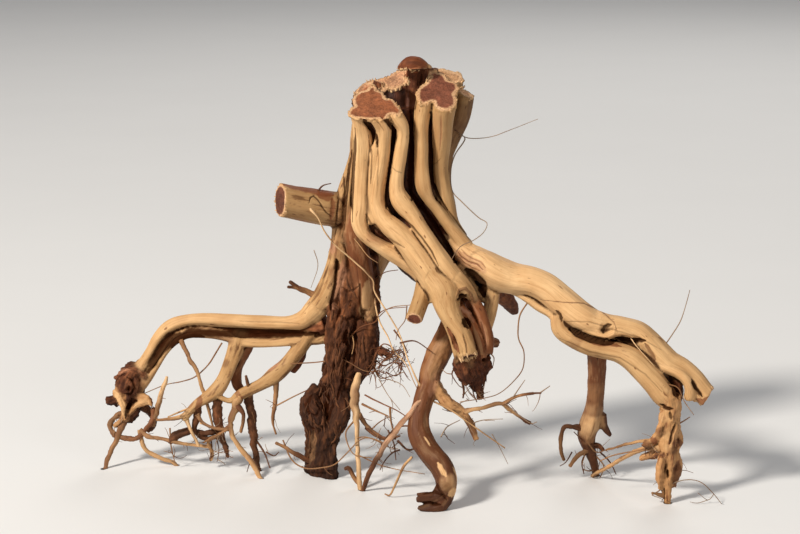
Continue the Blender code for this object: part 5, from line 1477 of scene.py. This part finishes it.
def relief(share, field, calm):
    """How far the surface of each kind stands out, in millimetres."""
    ridges = 1 - np.abs(field.bark) * 1.8
    shaggy = (1 - 0.6 * calm) * (1.6 * ridges - 1.0) + 1.2 * field.lumps + 1.2 * field.swell
    cracked = smoothstep(0.25, 0.75, field.flecks)
    lift = share.wood * (0.8 * field.long_groove + 0.22 * field.fibre + 0.6 * field.swell)
    lift += (share.red + share.dark) * (0.5 * field.bark + 0.35 * field.lumps + 0.3 * field.fibre)
    lift += share.shaggy * shaggy
    lift += share.rough * (1.7 * field.lumps + 1.0 * field.knotty + 0.9 * field.pits)
    lift += share.brown * (
        0.6 * field.long_groove + 0.5 * field.knotty + 0.6 * field.swell - 0.35 * cracked
    )
    lift += share.gnarl * (
        0.6 * field.long_groove + 1.3 * field.knotty + 0.6 * field.lumps + 0.4 * field.pits - 0.3 * cracked
    )
    return lift


def patched(share, field, worn):
    """The colour of each vertex from its kinds, their patches and the scraps of bark."""
    tint = sum(share.all[:, [i]] * np.array(TINTS[kind]) for i, kind in enumerate(KINDS))
    for kind, (colour, cover) in PATCHES.items():
        fine = kind in ("brown", "gnarl")
        spotty = field.flecks + 0.25 * field.patchy if fine else field.patchy + 0.35 * field.lumps
        patch = smoothstep(0.55 - cover, 1.15 - cover, spotty) * share.all[:, KINDS.index(kind)]
        tint = towards(tint, patch, colour)
    scrap = smoothstep(0.75 - worn, 1.2 - worn, field.flecks + 0.3 * field.patchy)
    return towards(tint, scrap * share.wood * (worn > 0.02) * 0.75, SCRAP_TINT)


def toned_and_shaded(tint, tone, verts, normals, share):
    """The colours with each limb's tone, which is partly painted shade, with painted shade on the undersides
    and on the bark near the floor.
    """
    # Painted shade on faces that turn downward
    tint = tint * (0.70 + 0.30 * smoothstep(-0.75, 0.05, normals[:, 2]))[:, None]
    # Painted shade on the bark low down, darker towards the floor
    low = 0.35 + 0.65 * smoothstep(0.0, 0.22, verts[:, 2])
    tint = tint * (tone * (1 - (share.shaggy + share.rough + 0.8 * share.brown) * (1 - low)))[:, None]
    warm = np.clip(1.25 - tone, 0, 0.6)[:, None] * np.array(WARM_LOSS)
    return tint * (1 - warm)


def grooves(dip, hollow, seam, fibre):
    """How much each vertex lies down in a groove, where dark bark and painted shade go: between limbs, in a
    sharp dip or deep inside.
    """
    groove = smoothstep(0.3, 1.3, hollow + 0.3 * fibre) * smoothstep(8 * MM, 2 * MM, seam)
    groove = np.maximum(groove, smoothstep(0.4, 1.2, dip + 0.15 * fibre) * 0.85)
    return np.maximum(groove, smoothstep(1.8, 4.5, hollow))


def stroked(verts, normals, fibre, lift, tint, groove):
    """The relief, the colours and the grooves with the strokes drawn into them."""
    spots = picture(verts)
    back = depths_behind(verts)
    toward = np.array(CAMERA_SPOT) - verts
    toward /= np.linalg.norm(toward, axis=1)[:, None]
    front = np.einsum("ni,ni->n", toward, normals)
    facing = smoothstep(0.05, 0.4, front)
    edge = 0.5 * noise(verts / (2.5 * MM), 95)
    for line, width, deep, kind, strength, depths in STROKES:
        gap, along = stroke_distance(spots, line)
        width = width * (0.4 + 0.6 * smoothstep(0, 0.2, along) * smoothstep(1, 0.8, along))
        within = (back > depths[0]) & (back < depths[1])
        lift = lift - deep * facing * within * np.exp(-((gap + 0.15 * fibre) / width) ** 2)
        shaky = (0.2 * fibre + edge) * np.minimum(1.0, 0.4 * width)
        mark = smoothstep(1.3 * width, 0.75 * width, gap + shaky) * within
        mark = mark * smoothstep(-0.25, 0.15, front) * strength
        if kind == "groove":
            groove = np.maximum(groove, mark)
        else:
            tint = towards(tint, mark, STROKE_TINTS[kind])
    return lift, tint, groove


def surface(piece, routes):
    """Gives the skin its relief, its colours and its grain."""
    eased(piece)
    mesh = piece.data
    verts, ends, normals = coordinates(mesh), edge_ends(mesh), vertex_normals(piece)
    names, grain, outside = limb_fields(verts, routes)
    order = np.argsort(outside, axis=1)[:, :2]
    near = order[:, 0]
    rows = np.arange(len(verts))
    seam = outside[rows, order[:, 1]] - outside[rows, near]
    field = noises(verts, grain)
    share = kind_shares(verts, names, outside, field.ragged)
    cut, rim, face, lip = cut_masks(verts, normals, names, outside, field.ragged)

    calm = spread(dict.fromkeys(CALM, 1.0), 0.0, near, names, ends, CALM_ROUNDS)
    crumbly = cut * (0.3 * field.pits + 0.25 * field.lumps)
    lift = relief(share, field, calm) * (1 - cut) + crumbly + lip * (1 - cut)
    tone = spread(TONES, 1.0, near, names, ends, TONE_ROUNDS)
    tint = patched(share, field, spread(SCRAPS, 0.0, near, names, ends, SCRAP_ROUNDS))
    tint = toned_and_shaded(tint, tone, verts, normals, share)
    dip, hollow = read_values(mesh, "dip").astype(float), read_values(mesh, "hollow").astype(float)
    groove = grooves(dip, hollow, seam, field.fibre)
    lift, tint, groove = stroked(verts, normals, field.fibre, lift, tint, groove)

    groove = np.clip(groove * (1 - cut), 0, 1)
    # Dark bark and painted shade in the grooves
    tint = towards(tint, GROOVE_SHARE * groove, GROOVE_BARK_AND_SHADE)
    face = face * (1 + 0.22 * field.pits + 0.22 * field.lumps)[:, None]
    tint = towards(tint, cut, towards(face, rim, RIM_TINT))
    verts = verts + normals * (lift * MM)[:, None]
    verts[:, 2] = np.maximum(verts[:, 2], 0.0)
    move_vertices(mesh, verts)
    bark = np.clip(share.shaggy + share.rough + 0.6 * share.red, 0, 1)
    write_colours(mesh, tint, grain, bark, cut, groove)
    mesh.shade_smooth()


def write_colours(mesh, tint, grain, bark, cut, groove):
    """Keeps each vertex's colour, grain place and surface kinds on the mesh."""
    colours = mesh.color_attributes.new("tint", "FLOAT_COLOR", "POINT")
    filled = np.column_stack([np.clip(tint, 0.001, 1), np.ones(len(tint))])
    colours.data.foreach_set("color", filled.astype(np.float32).ravel())
    vectors = mesh.attributes.new("grain", "FLOAT_VECTOR", "POINT")
    vectors.data.foreach_set("vector", grain.astype(np.float32).ravel())
    for name, values in (("bark", bark), ("cut", cut), ("groove", groove)):
        write_values(mesh, name, values)


def slabs(skin):
    """The skin cut into closed pieces between upright planes, each shaded as if it were whole."""
    mesh = skin.data
    layer = mesh.attributes.new("outward", "FLOAT_VECTOR", "POINT")
    layer.data.foreach_set("vector", vertex_normals(skin).astype(np.float32).ravel())
    mesh.calc_loop_triangles()
    corners = values_of(mesh.loop_triangles, "vertices", 3, np.int32)
    across = coordinates(mesh)[corners[:, 0], 0]
    count = math.ceil(len(across) / SLAB_TRIANGLES)
    walls = [-1.0, *np.quantile(across, np.arange(1, count) / count), 1.0]
    pieces = []
    for number, (low, high) in enumerate(zip(walls, walls[1:])):
        work = bmesh.new()
        work.from_mesh(mesh)
        caps = work.faces.layers.int.new("cap")
        for wall, facing in ((low, -1.0), (high, 1.0)):
            for face in cut_off(work, (float(wall), 0.0, 0.0), (facing, 0, 0)):
                face[caps] = 1
        part = bpy.data.meshes.new(f"root_skin_{number + 1}")
        work.to_mesh(part)
        work.free()
        part.shade_smooth()
        shade_as_whole(part)
        piece = bpy.data.objects.new(part.name, part)
        bpy.context.scene.collection.objects.link(piece)
        pieces.append(piece)
    bpy.data.objects.remove(skin)
    return pieces


def shade_as_whole(part):
    """Keeps the whole skin's normals on a slab, with flat ones on its walls."""
    outward = values_of(part.attributes["outward"].data, "vector", 3)
    corners = values_of(part.loops, "vertex_index", kind=np.int32)
    walls = values_of(part.attributes["cap"].data, "value", kind=np.int32)
    normals = outward[corners]
    for index in np.flatnonzero(walls):
        face = part.polygons[int(index)]
        normals[face.loop_start:face.loop_start + face.loop_total] = face.normal
    part.normals_split_custom_set(normals.tolist())


def thin_root(points, radii, sides, seed, tints, rough=0.12):
    """One thin root as verts, faces, colours and grain, uneven along its length."""
    count = len(points)
    line = np.arange(count)
    steps = np.column_stack([line * 0.45, np.full(count, seed * 7.3), np.full(count, 0.5)])
    radii = radii * (1 + rough * noise(steps, 71) + 0.5 * rough * noise(steps * 2.3, 72))
    shift = np.column_stack([noise(steps * 0.5 + k, 73 + k) for k in range(3)])
    ease = np.clip(np.minimum(line, count - 1 - line) / 3, 0, 1)[:, None]
    points = points + shift * radii[:, None] * 0.35 * ease
    points = np.vstack([points, points[-1] + unit(points[-1] - points[-2]) * radii[-1] * 0.5])
    radii = np.append(radii, radii[-1] * 0.55)
    verts, faces = tube(points, radii, sides, 0.07, seed)
    run = np.repeat(run_along(points), sides)
    angle = np.tile(np.arange(sides) * 2 * math.pi / sides, len(points))
    wide = np.repeat(radii, sides)
    grain = np.column_stack([np.cos(angle) * wide, np.sin(angle) * wide, run + seed * 0.11])
    bark = np.full(len(run), 0.15 + 0.5 * ("brown" in tints))
    return verts, faces, thin_tint(run, angle, seed, tints), grain, bark


def thin_tint(run, angle, seed, tints):
    """Colours along a thin root, from its first tint to its second, patchy and with scraps of bark."""
    share = smoothstep(0.35, 0.75, run / run.max())[:, None]
    tint = np.array(HAIR_TINTS[tints[0]]) * (1 - share) + np.array(HAIR_TINTS[tints[1]]) * share
    patch = noise(np.column_stack([run * 90, np.full(len(run), seed * 3.1), angle * 0.4]), 81)
    tint = tint * (1 + 0.35 * patch)[:, None]
    scrap = noise(np.column_stack([run * 55, np.full(len(run), seed * 5.7), angle * 0.3]), 85)
    return towards(tint, 0.7 * smoothstep(0.15, 0.55, scrap), np.array(HAIR_TINTS["brown"]) * 1.4)


def thin_piece(name, roots):
    """One piece from several thin roots."""
    verts, faces = gathered([root[:2] for root in roots])
    verts[:, 2] = np.maximum(verts[:, 2], 0.0)
    piece = mesh_object(name, verts, faces)
    tint, grain, bark = (np.concatenate([root[k] for root in roots]) for k in (2, 3, 4))
    none = np.zeros(len(verts))
    write_colours(piece.data, tint, grain, bark, none, none)
    piece.data.shade_smooth()
    return piece


def rootlets():
    """The thin roots that the solid has too."""
    roots = []
    for number, (name, route) in enumerate(ROOTLETS.items()):
        points, radii = follow(route, ROOTLET_STEP)
        radii = radii * np.where(radii < SLENDER_BELOW * MM, *SLENDER)
        rough = ROOTLET_ROUGHNESS.get(name, 0.2)
        roots.append(thin_root(points, radii, ROOTLET_SIDES, number, ROOTLET_TINTS[name], rough))
    return thin_piece("rootlets", roots)


def hair_line(points, start, end):
    """A route in millimetres for picture points whose depth goes evenly from start to end."""
    share = np.linspace(0, 1, len(points))
    return [(*from_front(spot), start + (end - start) * t) for spot, t in zip(points, share)]


def from_front(spot):
    """A picture point as across and up, in the routes' millimetres."""
    return spot[0] - PICTURE_MIDDLE[0], FOOT_LINE - spot[1]


def carriers(*tables):
    """Every point and radius along the routes of the tables."""
    lines = [follow(route, CARRIER_STEP) for table in tables for route in table.values()]
    return np.concatenate([line for line, _ in lines]), np.concatenate([radii for _, radii in lines])


def settled(spot, guess, held):
    """The depth nearest the guess at which a picture point lies on what carries it."""
    depths = guess + np.array(DEPTH_SEARCH, float)
    tries = place([(*from_front(spot), depth) for depth in depths])
    gaps = (np.linalg.norm(tries[:, None] - held[0][None], axis=2) - held[1][None]).min(1)
    inside = np.flatnonzero(gaps < -0.4 * MM)
    return float(depths[inside[0]] if len(inside) else depths[gaps.argmin()])


def hairs():
    """The hair roots that show one by one, and what can carry more of them."""
    roots = []
    held = carriers(STUMP, ARMS, ROOTLETS)
    for number, (points, start, end, radius, tint) in enumerate(HAIRS):
        count = len(points) - 1
        start = settled(points[0], start, held)
        spots = hair_line(points, start, end)
        route = [(*spot, radius * (1 - HAIR_TAPER * i / count)) for i, spot in enumerate(spots)]
        line, radii = follow(route, HAIR_STEP)
        held = (np.vstack([held[0], line]), np.concatenate([held[1], radii]))
        roots.append(thin_root(line, radii, HAIR_SIDES, HAIR_SEED + number, (tint, tint)))
    return thin_piece("hair_roots", roots), held


def wander(random, spot, longest):
    """The points of a fine root that curls away from the spot."""
    way = unit(random.normal(size=3) + (0, 0, -0.3))
    curl = 0.13 * random.normal(size=3)
    points = [spot]
    for _ in range(int(random.uniform(0.35, 1.0) * longest / WISP_STEP)):
        way = unit(way + 0.12 * random.normal(size=3) + 0.5 * np.cross(curl, way))
        points.append(points[-1] + way * WISP_STEP * MM)
    return np.array(points)


def tangles(held):
    """Fine hair roots that grow from the thin roots and wander through the thickets."""
    random = np.random.default_rng(7)
    seen = picture(held[0])
    back = depths_behind(held[0])
    roots = []
    for box, depths, count, longest, tints in TANGLES:
        near = (seen[:, 0] > box[0]) & (seen[:, 0] < box[2]) & (seen[:, 1] > box[1]) & (seen[:, 1] < box[3])
        near &= (back > depths[0] - 8) & (back < depths[1] + 8) & (held[1] < 7 * MM)
        starts = np.flatnonzero(near)
        for _ in range(count if len(starts) else 0):
            points = wander(random, held[0][random.choice(starts)], longest)
            if len(points) < 4 or points[:, 2].min() < 0.001:
                continue
            radii = np.linspace(0.42, 0.2, len(points)) * MM * random.uniform(0.7, 1.3)
            tint = tints[random.integers(3)]
            roots.append(thin_root(points, radii, WISP_SIDES, WISP_SEED + len(roots), (tint, tint), 0.06))
    return thin_piece("hair_tangles", roots)


def splinters(skin):
    """Torn fibres round the rims of the cuts and breaks."""
    verts, normals = coordinates(skin.data), vertex_normals(skin)
    cut = read_values(skin.data, "cut")
    random = np.random.default_rng(11)
    roots = []
    for name, (spot, facing, _) in CUTS.items():
        if name in CLEAN_CUTS:
            continue
        facing = unit(facing)
        away = np.abs((verts - place(spot)) @ facing)
        rim = (cut > 0.1) & (cut < 0.75) & (away < 2.5 * MM) & (np.abs(normals @ facing) < 0.85)
        chosen = np.flatnonzero(rim)
        if not len(chosen):
            continue
        many, longest = TORN_FIBRES if name in TORN_CUTS else SAWN_FIBRES
        for index in random.choice(chosen, min(len(chosen), many), replace=False):
            length = random.uniform(0.6, longest) * MM
            way = unit(facing + 0.35 * normals[index] + 0.25 * random.normal(size=3))
            start = verts[index] - way * FIBRE_START * MM
            points = np.array([start + way * s for s in np.linspace(0, 1, 5) * (length + FIBRE_START * MM)])
            radii = np.array(FIBRE_RADII) * random.uniform(0.5, 1.1) * MM
            roots.append(thin_root(points, radii, WISP_SIDES, FIBRE_SEED + len(roots), ("pale", "pale"), 0.2))
    return thin_piece("torn_fibres", roots)


def flake_line(random, tree, spot):
    """Points of a strip of bark that runs down the surface with its ends lifted."""
    way = np.array((0.0, 0.0, -1.0)) + 0.18 * random.normal(size=3)
    steps = random.integers(5, 14)
    lifted = random.uniform(0.0, 1.2) * MM
    points = []
    for step in range(steps):
        near, normal, _, _ = tree.find_nearest(Vector(spot))
        outward = np.array(normal)
        way = unit(way - outward * (way @ outward))
        rise = lifted * (abs(step / (steps - 1) - 0.5) * 2) ** 2 + 0.1 * MM
        points.append(np.array(near) + outward * rise)
        spot = np.array(near) + way * FLAKE_STEP * MM
    return np.array(points)


def bark_flakes(skin):
    """Loose strips of bark on the post."""
    verts = coordinates(skin.data)
    bark = read_values(skin.data, "bark")
    faces = [tuple(face.vertices) for face in skin.data.polygons]
    tree = BVHTree.FromPolygons([tuple(v) for v in verts], faces)
    random = np.random.default_rng(23)
    post = (bark > 0.8) & (np.abs(verts[:, 0] + 0.06) < 0.05) & (verts[:, 2] > 0.03) & (verts[:, 2] < 0.26)
    roots = []
    for index in random.choice(np.flatnonzero(post), FLAKES, replace=False):
        points = flake_line(random, tree, verts[index])
        shape = np.interp(np.linspace(0, 1, len(points)), [0, 0.2, 0.8, 1], [0.5, 1.1, 1.0, 0.3])
        radii = shape * random.uniform(0.6, 1.25) * MM
        roots.append(thin_root(points, radii, HAIR_SIDES, FLAKE_SEED + len(roots), ("brown", "brown"), 0.3))
    return thin_piece("bark_flakes", roots)


def shader_node(tree, kind, **settings):
    """A node with its settings; a setting that names an input gives it a value or a link."""
    made = tree.nodes.new(kind)
    for name, value in settings.items():
        if hasattr(made, name) and name not in made.inputs:
            setattr(made, name, value)
            continue
        socket = made.inputs[int(name[1:])] if name[0] == "i" and name[1:].isdigit() else made.inputs[name]
        if isinstance(value, bpy.types.NodeSocket):
            tree.links.new(value, socket)
        else:
            socket.default_value = value
    return made


def ramp(tree, value, stops):
    """A colour ramp over the value."""
    made = tree.nodes.new("ShaderNodeValToRGB")
    elements = made.color_ramp.elements
    while len(elements) < len(stops):
        elements.new(0.5)
    for element, (spot, colour) in zip(elements, stops):
        element.position = spot
        element.color = (*colour, 1) if isinstance(colour, tuple) else (colour, colour, colour, 1)
    tree.links.new(value, made.inputs["Fac"])
    return made.outputs["Color"]


def attribute(tree, name, output="Fac"):
    """What the mesh keeps under the name."""
    return shader_node(tree, "ShaderNodeAttribute", attribute_name=name).outputs[output]


def stretched(tree, vector, scale, detail, roughness=0.55):
    """Noise over a vector scaled differently along each axis."""
    scaled = shader_node(tree, "ShaderNodeVectorMath", operation="MULTIPLY", i0=vector, i1=scale)
    made = shader_node(
        tree, "ShaderNodeTexNoise", Vector=scaled.outputs[0], Scale=1.0, Detail=detail, Roughness=roughness,
    )
    return made.outputs["Fac"]


def multiplied(tree, colour, other, factor):
    """The colour multiplied by another, as far as the factor says."""
    made = shader_node(tree, "ShaderNodeMix", data_type="RGBA", blend_type="MULTIPLY", clamp_result=False)
    for socket, value in ((0, factor), (6, colour), (7, other)):
        if isinstance(value, bpy.types.NodeSocket):
            tree.links.new(value, made.inputs[socket])
        else:
            made.inputs[socket].default_value = value
    return made.outputs[2]


def maths(tree, operation, one, two):
    """The result of a sum, a product or the like."""
    return shader_node(tree, "ShaderNodeMath", operation=operation, i0=one, i1=two).outputs[0]


def new_material(name):
    """A material with nodes, its tree, its shader and the object's coordinates."""
    material = bpy.data.materials.new(name)
    material.use_nodes = True
    tree = material.node_tree
    spot = shader_node(tree, "ShaderNodeTexCoord").outputs["Object"]
    return material, tree, tree.nodes["Principled BSDF"], spot


def wood_material():
    """Root wood and bark: fibres, streaks, blotches, crackled bark and speckled end grain."""
    material, tree, shader, spot = new_material("root_wood_fine")
    grain = attribute(tree, "grain", "Vector")
    bark, cut, groove = (attribute(tree, name) for name in ("bark", "cut", "groove"))
    fine = {}
    for name, settings in FINE_NOISE.items():
        fine[name] = stretched(tree, spot if name in ("blotch", "speckle") else grain, *settings)
    covered = maths(tree, "MAXIMUM", bark, cut)
    woody = maths(tree, "SUBTRACT", 1.0, covered)
    strengths = {
        "streak": woody, "fibre": 0.85, "line": maths(tree, "MULTIPLY", woody, 0.6), "blotch": 0.9,
        "crackle": bark, "nick": maths(tree, "MULTIPLY", woody, 0.8), "speckle": cut,
    }
    colour = attribute(tree, "tint", "Color")
    for name, strength in strengths.items():
        colour = multiplied(tree, colour, ramp(tree, fine[name], SHADES[name]), strength)
    tree.links.new(colour, shader.inputs["Base Color"])

    rough = maths(tree, "ADD", 0.50, maths(tree, "MULTIPLY", fine["fibre"], 0.22))
    rough = maths(tree, "ADD", rough, maths(tree, "MULTIPLY", covered, 0.22))
    tree.links.new(rough, shader.inputs["Roughness"])
    gloss = maths(tree, "MULTIPLY", maths(tree, "SUBTRACT", 1.0, groove), 0.28)
    tree.links.new(gloss, shader.inputs["Specular IOR Level"])

    height = maths(tree, "MULTIPLY", fine["fibre"], 0.45)
    height = maths(tree, "ADD", height, maths(tree, "MULTIPLY", fine["line"], 0.5))
    for name, share, strength in (("crackle", bark, 2.2), ("speckle", cut, 0.9)):
        marked = maths(tree, "MULTIPLY", fine[name], share)
        height = maths(tree, "ADD", height, maths(tree, "MULTIPLY", marked, strength))
    bump = shader_node(tree, "ShaderNodeBump", Strength=0.75, Distance=0.0009, Height=height)
    tree.links.new(bump.outputs["Normal"], shader.inputs["Normal"])
    return material


def plain_material(name, colour, roughness):
    """A studio surface with a barely seen unevenness."""
    material, tree, shader, spot = new_material(name)
    uneven = stretched(tree, spot, (3, 3, 3), 3.0)
    shade = ramp(tree, uneven, [(0.3, tuple(c * 0.985 for c in colour)), (0.7, colour)])
    tree.links.new(shade, shader.inputs["Base Color"])
    shader.inputs["Roughness"].default_value = roughness
    return material


def area_light(name, spot, size, energy, colour):
    """A soft box that faces the object."""
    data = bpy.data.lights.new(name, "AREA")
    data.shape = "DISK"
    data.size = size
    data.energy = energy
    data.color = colour
    lamp = bpy.data.objects.new(name, data)
    bpy.context.scene.collection.objects.link(lamp)
    lamp.location = spot
    lamp.rotation_euler = (Vector(LIGHT_TARGET) - Vector(spot)).to_track_quat("-Z", "Y").to_euler()


def studio():
    """The floor, the lights and the surroundings' light."""
    bpy.ops.mesh.primitive_plane_add(size=FLOOR_SIZE, location=(0, 0, FLOOR_SINK))
    floor = bpy.context.object
    floor.name = "studio_floor"
    floor.data.materials.append(plain_material("studio_floor", FLOOR_TINT, 0.7))
    for name, light in LIGHTS.items():
        area_light(name, *light)
    world = bpy.data.worlds.new("studio")
    bpy.context.scene.world = world
    world.use_nodes = True
    background = world.node_tree.nodes["Background"]
    background.inputs["Color"].default_value = SKY_TINT
    background.inputs["Strength"].default_value = SKY_STRENGTH


def front_camera():
    """The camera at the photograph's angle."""
    data = bpy.data.cameras.new("front")
    data.lens = LENS
    data.sensor_width = SENSOR
    data.clip_end = 100.0
    camera = bpy.data.objects.new("front", data)
    bpy.context.scene.collection.objects.link(camera)
    camera.location = CAMERA_SPOT
    camera.rotation_euler = (CAMERA_TILT, 0, 0)
    bpy.context.scene.camera = camera
    bpy.context.scene.view_settings.view_transform = "Standard"


def dress(piece, material):
    """Gives a piece the wood and says what it stands for."""
    piece.data.materials.clear()
    piece.data.materials.append(material)
    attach(piece, "root")
    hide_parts("root")


def main():
    """Builds the dressed root, the studio and the camera."""
    routes = {**STUMP, **ARMS}
    skin = skin_of(routes)
    surface(skin, routes)
    material = wood_material()
    hair_roots, held = hairs()
    fine = [rootlets(), hair_roots, tangles(held), splinters(skin), bark_flakes(skin)]
    for piece in slabs(skin) + fine:
        dress(piece, material)
    studio()
    front_camera()


main()

bpy.context.view_layer.update()
